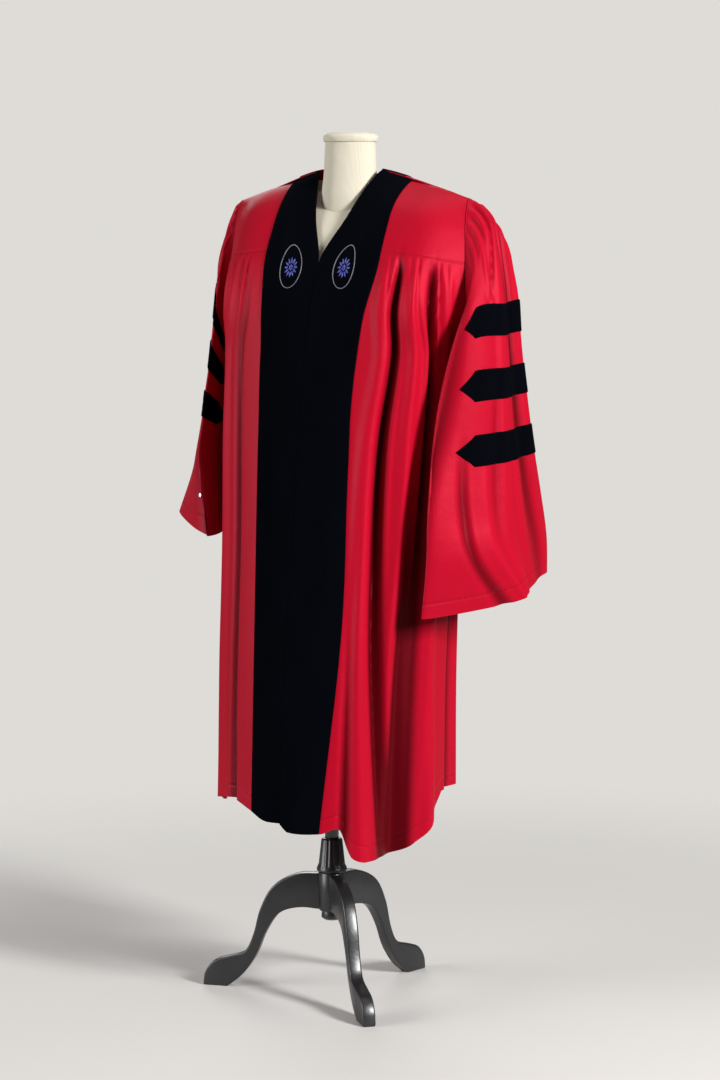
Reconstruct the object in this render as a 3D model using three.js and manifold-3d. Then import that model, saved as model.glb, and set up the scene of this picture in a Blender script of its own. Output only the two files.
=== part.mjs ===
// A doctoral graduation gown with velvet facings and sleeve bars, on a dress form and three-legged stand.
// Millimetres, +Z up. The gown faces -Y, and the wearer's left is +X.
import * as THREE from 'three';
import { mergeVertices } from 'three/addons/utils/BufferGeometryUtils.js';
import Module from 'manifold-3d';

const wasm = await Module();
wasm.setup();

// Driving sizes
const clothWall = 1.6;
const velvetWall = 1.5;
const seamGap = 0.3;
const layGap = 0.3;
const ridgeGap = 1.2;
const barLay = 0.9;
const closureGap = 0.3;
const armholeGap = 1.2;
const underarmDrop = 350;
const armholeRows = 9;
const yokeSeamFront = (underarmDrop * 4) / armholeRows;
const yokeSeamBack = (underarmDrop * 5) / armholeRows;
const hemDrop = 1190;
const velvetColumns = 5;
const frontColumns = 24;
const backColumns = 50;
const yokeBackColumns = 28;
const yokeBackRows = 5;
const sleeveColumns = 36;

const clothColour = { color: 0xb3122a, roughness: 0.42, metalness: 0 };
const velvetColour = { color: 0x0a0b14, roughness: 0.95, metalness: 0 };
const linenColour = { color: 0xe6dfca, roughness: 0.85, metalness: 0 };
const blackWood = { color: 0x1d1d1f, roughness: 0.35, metalness: 0 };
const snapMetal = { color: 0xc9ccd2, roughness: 0.25, metalness: 1 };

const gown = new THREE.Group();

function addMesh(name, geometry, look) {
  const mesh = new THREE.Mesh(geometry, new THREE.MeshStandardMaterial(look));
  mesh.name = name;
  gown.add(mesh);
  return mesh;
}

// Reads a value between knots as one smooth curve, and runs on straight past either end.
function smoothAt(knots, values, t) {
  const last = knots.length - 1;
  const slope = (i) => {
    const a = Math.max(0, i - 1);
    const b = Math.min(last, i + 1);
    return (values[b] - values[a]) / (knots[b] - knots[a]);
  };
  if (t <= knots[0]) return values[0] + slope(0) * (t - knots[0]);
  if (t >= knots[last]) return values[last] + slope(last) * (t - knots[last]);
  let i = 0;
  while (t > knots[i + 1]) i += 1;
  const h = knots[i + 1] - knots[i];
  const s = (t - knots[i]) / h;
  const s2 = s * s;
  const s3 = s2 * s;
  return (2 * s3 - 3 * s2 + 1) * values[i] + (s3 - 2 * s2 + s) * h * slope(i)
    + (3 * s2 - 2 * s3) * values[i + 1] + (s3 - s2) * h * slope(i + 1);
}

const readColumn = (rows, key, at, t) => smoothAt(rows.map((row) => row[at]), rows.map((row) => row[key]), t);

const blendStep = (from, to, t) => THREE.MathUtils.smoothstep(t, from, to);

// The cosine of a turn, made fuller by a power under 1, and odd past a quarter turn.
const roundOff = (turn, full) => Math.sign(Math.cos(turn)) * Math.abs(Math.cos(turn)) ** full;

const bump = (t) => (Math.abs(t) < 1 ? 0.5 + 0.5 * Math.cos(Math.PI * t) : 0);

// Shoulder rows of one front, from behind the shoulder seam down to the chest: [x, y, z] at four stations.
const frontShoulder = [
  { drop: -60, edge: [70, 80, 1532], velvet: [125, 95, 1505], middle: [182, 97, 1490], armhole: [240, 90, 1466] },
  { drop: 0, edge: [66, 34, 1541], velvet: [125, 38, 1520], middle: [183, 40, 1507], armhole: [240, 38, 1488] },
  { drop: 55, edge: [50, -6, 1505], velvet: [120, -22, 1482], middle: [188, -20, 1471], armhole: [249, 6, 1446] },
  { drop: 120, edge: [31, -44, 1450], velvet: [119, -64, 1425], middle: [192, -56, 1415], armhole: [256, -8, 1400] },
  { drop: 175, edge: [1.2, -85, 1378], velvet: [121, -92, 1372], middle: [196, -76, 1366], armhole: [260, -16, 1350] },
  { drop: 255, edge: [0.4, -118, 1295], velvet: [123, -112, 1292], middle: [199, -90, 1288], armhole: [259, -12, 1280] },
];
const frontStations = { edge: 0, velvet: 0.4, middle: 0.68, armhole: 1 };

// Shoulder rows of the back, from before the seam down to the shoulder blades.
const backShoulder = [
  { drop: -60, centre: [0, 66, 1560], nape: [34, 50, 1548], neck: [50, -6, 1505], middle: [170, -18, 1476], armhole: [249, 6, 1446] },
  { drop: 0, centre: [0, 92, 1530], nape: [43, 77, 1535], neck: [66, 34, 1541], middle: [170, 40, 1510], armhole: [240, 38, 1488] },
  { drop: 60, centre: [0, 116, 1474], nape: [38, 109, 1488], neck: [72, 84, 1510], middle: [172, 92, 1486], armhole: [249, 80, 1452] },
  { drop: 130, centre: [0, 132, 1404], nape: [41, 131, 1410], neck: [80, 126, 1420], middle: [176, 122, 1412], armhole: [256, 98, 1390] },
  { drop: 190, centre: [0, 139, 1344], nape: [43, 139, 1346], neck: [84, 137, 1350], middle: [180, 130, 1350], armhole: [260, 102, 1334] },
  { drop: 255, centre: [0, 144, 1279], nape: [44, 143.5, 1280], neck: [86, 142, 1283], middle: [182, 132, 1284], armhole: [258, 90, 1276] },
];
const backStations = { centre: 0, nape: 0.15, neck: 0.28, middle: 0.62, armhole: 1 };

// Level rows below the underarm: half widths at the wearer's left and right, the depths at the
// centre front and back, and the place of the side seam.
const skirtRows = [
  { drop: 350, z: 1205, left: 233, right: 234, front: -139, back: 151, side: 36, full: 0.6 },
  { drop: 490, z: 1070, left: 227, right: 236, front: -160, back: 156, side: 26, full: 0.8 },
  { drop: 700, z: 860, left: 215, right: 233, front: -184, back: 160, side: 16, full: 0.95 },
  { drop: 920, z: 640, left: 207, right: 230, front: -212, back: 163, side: 10, full: 1 },
  { drop: 1190, z: 0, left: 205, right: 231, front: -229, back: 160, side: 8, full: 1 },
];

// The wearer's right armhole sits a little closer in.
const rightPull = [
  { drop: -60, pull: 1 },
  { drop: 0, pull: 1 },
  { drop: 60, pull: 0.95 },
  { drop: 120, pull: 0.92 },
  { drop: 190, pull: 0.91 },
  { drop: 255, pull: 0.93 },
  { drop: 350, pull: 1 },
];

// Height of the hem round the body, by the share of the way from the centre to the side seam.
const hemFrontLeft = [
  { at: 0, z: 362 },
  { at: 0.05, z: 349 },
  { at: 0.24, z: 349 },
  { at: 0.35, z: 355 },
  { at: 0.41, z: 304 },
  { at: 0.6, z: 300 },
  { at: 0.71, z: 306 },
  { at: 0.81, z: 328 },
  { at: 0.9, z: 364 },
  { at: 1, z: 404 },
];
const hemFrontRight = [
  { at: 0, z: 364 },
  { at: 0.1, z: 365 },
  { at: 0.2, z: 380 },
  { at: 0.35, z: 392 },
  { at: 0.6, z: 378 },
  { at: 0.74, z: 364 },
  { at: 0.88, z: 374 },
  { at: 1, z: 388 },
];
const hemBack = [
  { at: -1, z: 388 },
  { at: -0.5, z: 396 },
  { at: 0, z: 398 },
  { at: 0.5, z: 404 },
  { at: 1, z: 404 },
];

// Share of a front that its velvet facing covers, by drop.
const velvetEdgeLeft = [
  { drop: 0, at: 0.4 },
  { drop: 175, at: 0.42 },
  { drop: 350, at: 0.29 },
  { drop: 560, at: 0.29 },
  { drop: 880, at: 0.315 },
  { drop: 1190, at: 0.232 },
];
const velvetEdgeRight = [
  { drop: 0, at: 0.39 },
  { drop: 120, at: 0.385 },
  { drop: 255, at: 0.345 },
  { drop: 350, at: 0.28 },
  { drop: 700, at: 0.235 },
  { drop: 920, at: 0.2 },
  { drop: 1190, at: 0.185 },
];

// Folds: place at the top, middle and hem as a share of the panel, half width in millimetres at the
// top and hem, and how far the cloth stands out there. A valley is less than nought.
const foldsFrontLeft = [
  { topAt: 0.58, midAt: 0.46, hemAt: 0.59, topHalf: 15, hemHalf: 24, top: -13, mid: -19, hem: -8 },
  { topAt: 0.48, midAt: 0.385, hemAt: 0.45, topHalf: 22, hemHalf: 26, top: 4, mid: 8, hem: 9 },
  { topAt: 0.68, midAt: 0.6, hemAt: 0.63, topHalf: 22, hemHalf: 26, top: 7, mid: 9, hem: 2 },
  { topAt: 0.8, midAt: 0.76, hemAt: 0.74, topHalf: 13, hemHalf: 24, top: -12, mid: -15, hem: -4 },
  { topAt: 0.9, midAt: 0.86, hemAt: 0.86, topHalf: 16, hemHalf: 28, top: 6, mid: 9, hem: 15 },
  { topAt: 0.66, midAt: 0.67, hemAt: 0.665, topHalf: 30, hemHalf: 36, top: 0, mid: 0, hem: -27 },
  { topAt: 0.36, midAt: 0.36, hemAt: 0.365, topHalf: 12, hemHalf: 16, top: 0, mid: 0, hem: -9 },
];
const foldsFrontRight = [
  { topAt: 0.95, midAt: 0.93, hemAt: 0.93, topHalf: 14, hemHalf: 26, top: -7, mid: -9, hem: -10 },
  { topAt: 0.88, midAt: 0.84, hemAt: 0.82, topHalf: 14, hemHalf: 30, top: 4, mid: 8, hem: 9 },
  { topAt: 0.8, midAt: 0.72, hemAt: 0.68, topHalf: 16, hemHalf: 24, top: -4, mid: -8, hem: -9 },
  { topAt: 0.66, midAt: 0.6, hemAt: 0.54, topHalf: 26, hemHalf: 30, top: 3, mid: 7, hem: 9 },
  { topAt: 0.5, midAt: 0.44, hemAt: 0.37, topHalf: 20, hemHalf: 22, top: 0, mid: -8, hem: -11 },
];
const foldsBack = [
  { topAt: -0.93, midAt: -0.9, hemAt: -0.86, topHalf: 24, hemHalf: 38, top: 2, mid: 8, hem: 14 },
  { topAt: -0.74, midAt: -0.72, hemAt: -0.66, topHalf: 24, hemHalf: 34, top: -2, mid: -8, hem: -15 },
  { topAt: -0.55, midAt: -0.52, hemAt: -0.46, topHalf: 24, hemHalf: 38, top: 2, mid: 9, hem: 16 },
  { topAt: -0.34, midAt: -0.3, hemAt: -0.26, topHalf: 24, hemHalf: 34, top: -2, mid: -9, hem: -14 },
  { topAt: -0.12, midAt: -0.1, hemAt: -0.07, topHalf: 24, hemHalf: 38, top: 2, mid: 8, hem: 15 },
  { topAt: 0.1, midAt: 0.12, hemAt: 0.13, topHalf: 24, hemHalf: 32, top: -2, mid: -9, hem: -15 },
  { topAt: 0.32, midAt: 0.33, hemAt: 0.33, topHalf: 24, hemHalf: 38, top: 2, mid: 9, hem: 15 },
  { topAt: 0.52, midAt: 0.53, hemAt: 0.52, topHalf: 24, hemHalf: 32, top: -2, mid: -8, hem: -13 },
  { topAt: 0.72, midAt: 0.72, hemAt: 0.71, topHalf: 24, hemHalf: 36, top: 2, mid: 8, hem: 14 },
  { topAt: 0.9, midAt: 0.89, hemAt: 0.88, topHalf: 24, hemHalf: 30, top: -2, mid: -6, hem: -10 },
];
const backFluteCount = 14;
const backFluteDepth = 4.5;
const backFluteFade = 420;
const panelArc = 340;
const foldMiddle = 0.38;
const foldRise = 60;

// How far the cloth stands out from its plain surface, at a share of the panel and a drop.
function foldLift(folds, at, drop, start) {
  const down = THREE.MathUtils.clamp((drop - start) / (hemDrop - start), 0, 1);
  const rise = blendStep(-2, foldRise, drop - start);
  let lift = 0;
  for (const fold of folds) {
    const place = smoothAt([0, foldMiddle, 1], [fold.topAt, fold.midAt, fold.hemAt], down);
    const half = fold.topHalf + (fold.hemHalf - fold.topHalf) * down;
    const depth = smoothAt([0, foldMiddle, 1], [fold.top, fold.mid, fold.hem], down);
    lift += depth * bump(((at - place) * panelArc) / half);
  }
  return lift * rise;
}

function stationPoint(row, stations, at, mirrored) {
  const names = Object.keys(stations);
  const knots = names.map((name) => stations[name]);
  const axis = (i) => names.map((name) => row[name][i]);
  if (!mirrored) return [0, 1, 2].map((i) => smoothAt(knots, axis(i), at));
  const bothKnots = [-knots[1], ...knots];
  return [0, 1, 2].map((i) => smoothAt(bothKnots, [axis(i)[1] * (i === 0 ? -1 : 1), ...axis(i)], at));
}

// One smooth run through the shoulder rows and the level rows. Near the side seam, the stretch below the
// underarm follows the level rows alone, so that front and back share one seam line.
function throughRows(upper, lower, drop, seamShare) {
  const read = (rows, i) => smoothAt(rows.map((row) => row.drop), rows.map((row) => row.point[i]), drop);
  return [0, 1, 2].map((i) => {
    const whole = read([...upper, ...lower], i);
    if (drop < underarmDrop) return whole;
    return whole + (read(lower, i) - whole) * seamShare;
  });
}

// A point of a front on its plain surface. Side is 1 at the wearer's left and -1 at the right.
function frontBase(side, at, drop) {
  const upper = frontShoulder.map((row) => ({ drop: row.drop, point: stationPoint(row, frontStations, at, false) }));
  const turn = (at * Math.PI) / 2;
  const hem = side > 0 ? hemFrontLeft : hemFrontRight;
  const lower = skirtRows.map((row) => ({
    drop: row.drop,
    point: [
      (side > 0 ? row.left : row.right) * Math.sin(turn),
      row.side + (row.front - row.side) * roundOff(turn, row.full),
      row.drop === hemDrop ? readColumn(hem, 'z', 'at', at) : row.z,
    ],
  }));
  const point = throughRows(upper, lower, drop, at ** 4);
  const pull = side < 0 && drop < underarmDrop ? 1 + (readColumn(rightPull, 'pull', 'drop', drop) - 1) * at ** 3 : 1;
  const across = Math.max(point[0], closureGap);
  return new THREE.Vector3(side * across * pull, point[1], point[2]);
}

// A point of the back: at runs from -1 at the wearer's right side to 1 at the left.
function backBase(at, drop) {
  const share = Math.abs(at);
  const side = at < 0 ? -1 : 1;
  const upper = backShoulder.map((row) => ({ drop: row.drop, point: stationPoint(row, backStations, share, true) }));
  const turn = (share * Math.PI) / 2;
  const lower = skirtRows.map((row) => ({
    drop: row.drop,
    point: [
      (side > 0 ? row.left : row.right) * Math.sin(turn),
      row.side + (row.back - row.side) * roundOff(turn, row.full),
      row.drop === hemDrop ? readColumn(hemBack, 'z', 'at', at) : row.z,
    ],
  }));
  const point = throughRows(upper, lower, drop, share ** 4);
  const pull = side < 0 && drop < underarmDrop ? 1 + (readColumn(rightPull, 'pull', 'drop', drop) - 1) * share ** 3 : 1;
  return new THREE.Vector3(side * point[0] * pull, point[1], point[2]);
}

// The outward normal of a surface given as a function of two shares.
function normalOf(surface, a, b, stepA, stepB, flip) {
  const alongA = surface(a + stepA, b).sub(surface(a - stepA, b));
  const alongB = surface(a, b + stepB).sub(surface(a, b - stepB));
  const normal = alongA.cross(alongB).normalize();
  return flip ? normal.negate() : normal;
}

const lifted = (base, normal, lift) => base.clone().addScaledVector(normal, lift);

function frontSurface(side) {
  const folds = side > 0 ? foldsFrontLeft : foldsFrontRight;
  const plain = (at, drop) => frontBase(side, at, drop);
  return (at, drop) => {
    const lift = foldLift(folds, at, drop, yokeSeamFront);
    if (Math.abs(lift) < 0.001) return plain(at, drop);
    const normal = normalOf(plain, at, drop, 0.01, 4, side > 0);
    return lifted(plain(at, drop), normal, lift);
  };
}

function backSurface(at, drop) {
  const down = (drop - yokeSeamBack) / backFluteFade;
  const edge = 1 - blendStep(0.9, 1, Math.abs(at));
  const flute = backFluteDepth * Math.cos(at * backFluteCount * Math.PI) * blendStep(-0.02, 0.12, down) * (1 - blendStep(0.25, 1, down));
  const lift = foldLift(foldsBack, at, drop, yokeSeamBack) + flute;
  const normal = normalOf(backBase, at, drop, 0.01, 4, false);
  return lifted(backBase(at, drop), normal, lift * edge);
}

// Closes a grid of surface places into a wall between two distances from the surface. Crossed says which
// cells are split along their other diagonal.
function wallGeometry(grid, outerLay, innerLay, closed, crossed = () => false) {
  const rows = grid.length;
  const columns = grid[0].length;
  const positions = [];
  for (const lay of [outerLay, innerLay]) {
    for (const row of grid) {
      for (const place of row) positions.push(...lifted(place.point, place.normal, lay).toArray());
    }
  }
  const outer = (r, c) => r * columns + (c % columns);
  const inner = (r, c) => rows * columns + outer(r, c);
  const faces = [];
  const quad = (a, b, c, d) => faces.push(a, b, c, a, c, d);
  const spans = closed ? columns : columns - 1;
  for (let r = 0; r < rows - 1; r += 1) {
    for (let c = 0; c < spans; c += 1) {
      if (crossed(r, c)) {
        quad(outer(r + 1, c), outer(r + 1, c + 1), outer(r, c + 1), outer(r, c));
        quad(inner(r, c + 1), inner(r + 1, c + 1), inner(r + 1, c), inner(r, c));
      } else {
        quad(outer(r, c), outer(r + 1, c), outer(r + 1, c + 1), outer(r, c + 1));
        quad(inner(r, c), inner(r, c + 1), inner(r + 1, c + 1), inner(r + 1, c));
      }
    }
  }
  for (let c = 0; c < spans; c += 1) {
    quad(outer(0, c), outer(0, c + 1), inner(0, c + 1), inner(0, c));
    quad(outer(rows - 1, c + 1), outer(rows - 1, c), inner(rows - 1, c), inner(rows - 1, c + 1));
  }
  if (!closed) {
    for (let r = 0; r < rows - 1; r += 1) {
      quad(outer(r + 1, 0), outer(r, 0), inner(r, 0), inner(r + 1, 0));
      quad(outer(r, columns - 1), outer(r + 1, columns - 1), inner(r + 1, columns - 1), inner(r, columns - 1));
    }
  }
  const geometry = new THREE.BufferGeometry();
  geometry.setAttribute('position', new THREE.Float32BufferAttribute(positions, 3));
  geometry.setIndex(faces);
  return faceOutward(geometry);
}

// Turns a closed mesh so that its faces point out.
function faceOutward(geometry) {
  const position = geometry.getAttribute('position');
  const index = Array.from(geometry.getIndex().array);
  const corner = (i) => new THREE.Vector3().fromBufferAttribute(position, index[i]);
  let volume = 0;
  for (let i = 0; i < index.length; i += 3) volume += corner(i).dot(corner(i + 1).cross(corner(i + 2)));
  if (volume < 0) {
    for (let i = 0; i < index.length; i += 3) [index[i], index[i + 1]] = [index[i + 1], index[i]];
    geometry.setIndex(index);
  }
  geometry.computeVertexNormals();
  return geometry;
}

function makeGrid(surface, ats, drops, flip, placeAt) {
  return drops.map((drop) => ats.map((share) => {
    const at = placeAt ? placeAt(share, drop) : share;
    return { point: surface(at, drop), normal: normalOf(surface, at, drop, 0.004, 1.5, flip) };
  }));
}

const steps = (count, from, to) => Array.from({ length: count + 1 }, (_, i) => from + ((to - from) * i) / count);

const drawIn = (list, byStart, byEnd) => {
  const out = [...list];
  out[0] += byStart;
  out[out.length - 1] -= byEnd;
  return out;
};

// Columns of a front: the first ones lie under the velvet and the rest outside it.
function frontPlace(side) {
  const edge = side > 0 ? velvetEdgeLeft : velvetEdgeRight;
  const split = velvetColumns / frontColumns;
  return (share, drop) => {
    const under = readColumn(edge, 'at', 'drop', drop);
    if (share <= split) return (share / split) * under;
    return under + ((share - split) / (1 - split)) * (1 - under);
  };
}

const halfGap = seamGap / 2;
const sideGap = seamGap / panelArc;
const centreGap = 0.5 / panelArc;
const yokeFrontDrops = steps(4, 0, yokeSeamFront);
const skirtDrops = [420, 510, 620, 740, 860, 970, 1080, hemDrop];
const frontDrops = [...steps(5, yokeSeamFront, underarmDrop), ...skirtDrops];
const backDrops = [...steps(4, yokeSeamBack, underarmDrop), ...skirtDrops];
const velvetDrops = [...yokeFrontDrops.slice(0, -1), ...frontDrops];

for (const [side, word] of [[1, 'left'], [-1, 'right']]) {
  const surface = frontSurface(side);
  const place = frontPlace(side);
  const flip = side > 0;
  const ats = drawIn(steps(frontColumns, 0, 1), centreGap, sideGap);
  const front = makeGrid(surface, ats, drawIn(frontDrops, halfGap, 0), flip, place);
  addMesh(`front_${word}`, wallGeometry(front, 0, -clothWall, false), clothColour);
  const yoke = makeGrid(surface, ats, drawIn(yokeFrontDrops, ridgeGap, halfGap), flip, place);
  addMesh(`yoke_front_${word}`, wallGeometry(yoke, 0, -clothWall, false), clothColour);
  const velvetAts = drawIn(steps(velvetColumns, 0, velvetColumns / frontColumns), centreGap, 0);
  const velvet = makeGrid(surface, velvetAts, drawIn(velvetDrops, 2 * ridgeGap, 0), flip, place);
  addMesh(`velvet_${word}`, wallGeometry(velvet, layGap + velvetWall, layGap, false), velvetColour);
}

const backAts = drawIn(steps(backColumns, -1, 1), sideGap, sideGap);
const back = makeGrid(backSurface, backAts, drawIn(backDrops, halfGap, 0), false);
addMesh('back', wallGeometry(back, 0, -clothWall, false), clothColour);
const yokeBackAts = drawIn(steps(yokeBackColumns, -1, 1), sideGap, sideGap);
const yokeBackDrops = drawIn(steps(yokeBackRows, 0, yokeSeamBack), ridgeGap, halfGap);
const yokeBack = makeGrid(backSurface, yokeBackAts, yokeBackDrops, false);
addMesh('yoke_back', wallGeometry(yokeBack, 0, -clothWall, false), clothColour);

// Where each named line runs round a sleeve, as a share of the way from the underarm round the front.
const sleeveStations = { inner: 0, front: 0.24, crease: 0.37, outer: 0.52, rear: 0.66, back: 0.8 };

// Rows of the sleeves below the armhole: [x, y, z] on each named line, x counted outward.
const sleeveLeft = [
  { drop: 26, inner: [243, 36, 1190], front: [266, -20, 1312], crease: [264, -4, 1412], outer: [262, 42, 1476], rear: [266, 86, 1412], back: [268, 96, 1312] },
  { drop: 70, inner: [247, 38, 1176], front: [274, -30, 1292], crease: [280, -14, 1384], outer: [290, 38, 1446], rear: [294, 84, 1394], back: [280, 108, 1294] },
  { drop: 140, inner: [250, 40, 1160], front: [270, -46, 1268], crease: [290, -28, 1340], outer: [308, 30, 1384], rear: [308, 84, 1344], back: [286, 116, 1272] },
  { drop: 228, inner: [251, 42, 1146], front: [263, -56, 1240], crease: [297, -40, 1294], outer: [320, 26, 1300], rear: [317, 84, 1303], back: [289, 120, 1252] },
  { drop: 285, inner: [251, 42, 1128], front: [256, -66, 1204], crease: [298, -42, 1239], outer: [323, 26, 1243], rear: [320, 86, 1247], back: [290, 124, 1214] },
  { drop: 342, inner: [251, 43, 1104], front: [249, -76, 1160], crease: [299, -44, 1182], outer: [326, 26, 1186], rear: [324, 90, 1191], back: [292, 129, 1168] },
  { drop: 398, inner: [251, 44, 1074], front: [244, -88, 1112], crease: [300, -45, 1126], outer: [328, 27, 1131], rear: [329, 95, 1137], back: [294, 134, 1118] },
  { drop: 456, inner: [252, 45, 1036], front: [241, -100, 1059], crease: [301, -46, 1067], outer: [330, 28, 1073], rear: [334, 101, 1081], back: [297, 140, 1070] },
  { drop: 514, inner: [252, 46, 990], front: [240, -112, 1006], crease: [301, -47, 1010], outer: [333, 30, 1017], rear: [339, 108, 1027], back: [300, 148, 1020] },
  { drop: 600, inner: [251, 47, 920], front: [240, -124, 926], crease: [306, -50, 925], outer: [338, 36, 932], rear: [344, 126, 944], back: [305, 164, 936] },
  { drop: 690, inner: [250, 48, 846], front: [240, -126, 834], crease: [320, -42, 848], outer: [344, 50, 860], rear: [348, 140, 870], back: [305, 178, 862] },
  { drop: 775, inner: [250, 50, 776], front: [236, -130, 741], crease: [346, 22, 762], outer: [352, 72, 782], rear: [345, 148, 804], back: [302, 186, 798] },
];
const sleeveRight = [
  { drop: 26, inner: [243, 38, 1194], front: [246, -22, 1326], crease: [244, -6, 1420], outer: [251, 38, 1474], rear: [262, 84, 1416], back: [264, 98, 1318] },
  { drop: 70, inner: [246, 42, 1182], front: [248, -30, 1310], crease: [250, -16, 1396], outer: [267, 38, 1440], rear: [280, 88, 1396], back: [270, 110, 1300] },
  { drop: 120, inner: [247, 44, 1172], front: [250, -36, 1290], crease: [258, -22, 1358], outer: [280, 36, 1386], rear: [284, 90, 1352], back: [270, 118, 1284] },
  { drop: 178, inner: [248, 46, 1160], front: [250, -38, 1272], crease: [262, -22, 1326], outer: [283, 36, 1332], rear: [286, 92, 1338], back: [270, 124, 1284] },
  { drop: 233, inner: [249, 47, 1146], front: [254, -40, 1244], crease: [268, -22, 1271], outer: [288, 37, 1278], rear: [290, 95, 1285], back: [271, 130, 1254] },
  { drop: 278, inner: [250, 48, 1130], front: [258, -42, 1210], crease: [273, -22, 1227], outer: [292, 38, 1235], rear: [294, 98, 1243], back: [272, 134, 1222] },
  { drop: 331, inner: [252, 49, 1106], front: [262, -46, 1166], crease: [279, -23, 1174], outer: [297, 39, 1183], rear: [299, 101, 1192], back: [275, 139, 1180] },
  { drop: 374, inner: [253, 50, 1082], front: [265, -52, 1128], crease: [285, -25, 1132], outer: [301, 40, 1142], rear: [303, 104, 1152], back: [278, 143, 1142] },
  { drop: 424, inner: [254, 51, 1046], front: [267, -60, 1080], crease: [290, -27, 1082], outer: [306, 40, 1092], rear: [309, 107, 1102], back: [282, 148, 1096] },
  { drop: 510, inner: [256, 50, 986], front: [266, -78, 1004], crease: [305, -31, 1000], outer: [318, 40, 1010], rear: [320, 110, 1018], back: [288, 156, 1012] },
  { drop: 620, inner: [258, 46, 882], front: [236, -98, 863], crease: [343, -30, 896], outer: [348, 40, 908], rear: [345, 114, 914], back: [304, 166, 906] },
];

// The bars of a sleeve: the rows where they start, and the columns that they run between.
const barRows = [3, 5, 7];
const barSpans = { left: { first: 12, last: 27 }, right: { first: 5, last: 27 } };

const headFluteCount = 22;
const headFluteDepth = 3.2;
const headFluteFade = 130;
const headSpread = 0.22;
const sleeveArc = 520;
const sleeveFoldMiddle = 0.5;
const sleeveFoldsLeft = [
  { topAt: 0.56, midAt: 0.57, hemAt: 0.6, topHalf: 16, hemHalf: 26, top: -6, mid: -7, hem: -3 },
  { topAt: 0.62, midAt: 0.63, hemAt: 0.66, topHalf: 16, hemHalf: 30, top: 4, mid: 5, hem: 4 },
  { topAt: 0.48, midAt: 0.49, hemAt: 0.48, topHalf: 14, hemHalf: 24, top: 3, mid: 4, hem: 3 },
  { topAt: 0.69, midAt: 0.71, hemAt: 0.74, topHalf: 14, hemHalf: 24, top: -4, mid: -6, hem: -5 },
  { topAt: 0.3, midAt: 0.28, hemAt: 0.18, topHalf: 20, hemHalf: 36, top: 0, mid: -5, hem: -10 },
  { topAt: 0.9, midAt: 0.9, hemAt: 0.9, topHalf: 20, hemHalf: 34, top: -2, mid: -5, hem: -8 },
];
const sleeveFoldsRight = [
  { topAt: 0.55, midAt: 0.55, hemAt: 0.56, topHalf: 16, hemHalf: 26, top: -5, mid: -6, hem: -4 },
  { topAt: 0.63, midAt: 0.64, hemAt: 0.66, topHalf: 16, hemHalf: 28, top: 4, mid: 5, hem: 5 },
  { topAt: 0.71, midAt: 0.72, hemAt: 0.74, topHalf: 14, hemHalf: 24, top: -4, mid: -5, hem: -6 },
  { topAt: 0.3, midAt: 0.3, hemAt: 0.24, topHalf: 18, hemHalf: 30, top: 0, mid: -3, hem: -6 },
  { topAt: 0.9, midAt: 0.9, hemAt: 0.9, topHalf: 20, hemHalf: 32, top: -2, mid: -5, hem: -7 },
];

// A point of the armhole: the share runs from the underarm up the front and down the back.
function armholePoint(side, share) {
  const front = share < 0.5;
  const drop = underarmDrop * Math.abs(1 - 2 * share);
  const point = front ? frontBase(side, 1, drop) : backBase(side, drop);
  point.x += side * armholeGap;
  return point;
}

function closedStations(row, share) {
  const names = Object.keys(sleeveStations);
  const knots = [];
  const picks = [];
  for (const turn of [-1, 0, 1]) {
    for (const name of names) {
      knots.push(sleeveStations[name] + turn);
      picks.push(row[name]);
    }
  }
  return [0, 1, 2].map((i) => smoothAt(knots, picks.map((pick) => pick[i]), share));
}

function sleeveSurface(side) {
  const rows = side > 0 ? sleeveLeft : sleeveRight;
  const folds = side > 0 ? sleeveFoldsLeft : sleeveFoldsRight;
  const lastDrop = rows[rows.length - 1].drop;
  const plain = (share, drop) => {
    const turn = share - Math.floor(share);
    const start = armholePoint(side, turn);
    const points = rows.map((row) => closedStations(row, turn));
    const knots = [0, ...rows.map((row) => row.drop)];
    const read = (i, first) => smoothAt(knots, [first, ...points.map((point) => point[i])], drop);
    return new THREE.Vector3(side * read(0, side * start.x), read(1, start.y), read(2, start.z));
  };
  return (share, drop) => {
    const turn = share - Math.floor(share);
    const down = drop / lastDrop;
    const head = bump((turn - 0.5) / headSpread) * blendStep(2, 22, drop) * (1 - blendStep(30, headFluteFade, drop));
    let lift = headFluteDepth * Math.cos(turn * headFluteCount * 2 * Math.PI) * head;
    for (const fold of folds) {
      const place = smoothAt([0, sleeveFoldMiddle, 1], [fold.topAt, fold.midAt, fold.hemAt], down);
      const half = fold.topHalf + (fold.hemHalf - fold.topHalf) * down;
      const depth = smoothAt([0, sleeveFoldMiddle, 1], [fold.top, fold.mid, fold.hem], down);
      lift += depth * blendStep(10, 120, drop) * bump(((turn - place) * sleeveArc) / half);
    }
    return lifted(plain(share, drop), normalOf(plain, share, drop, 0.01, 3, side > 0), lift);
  };
}

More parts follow.
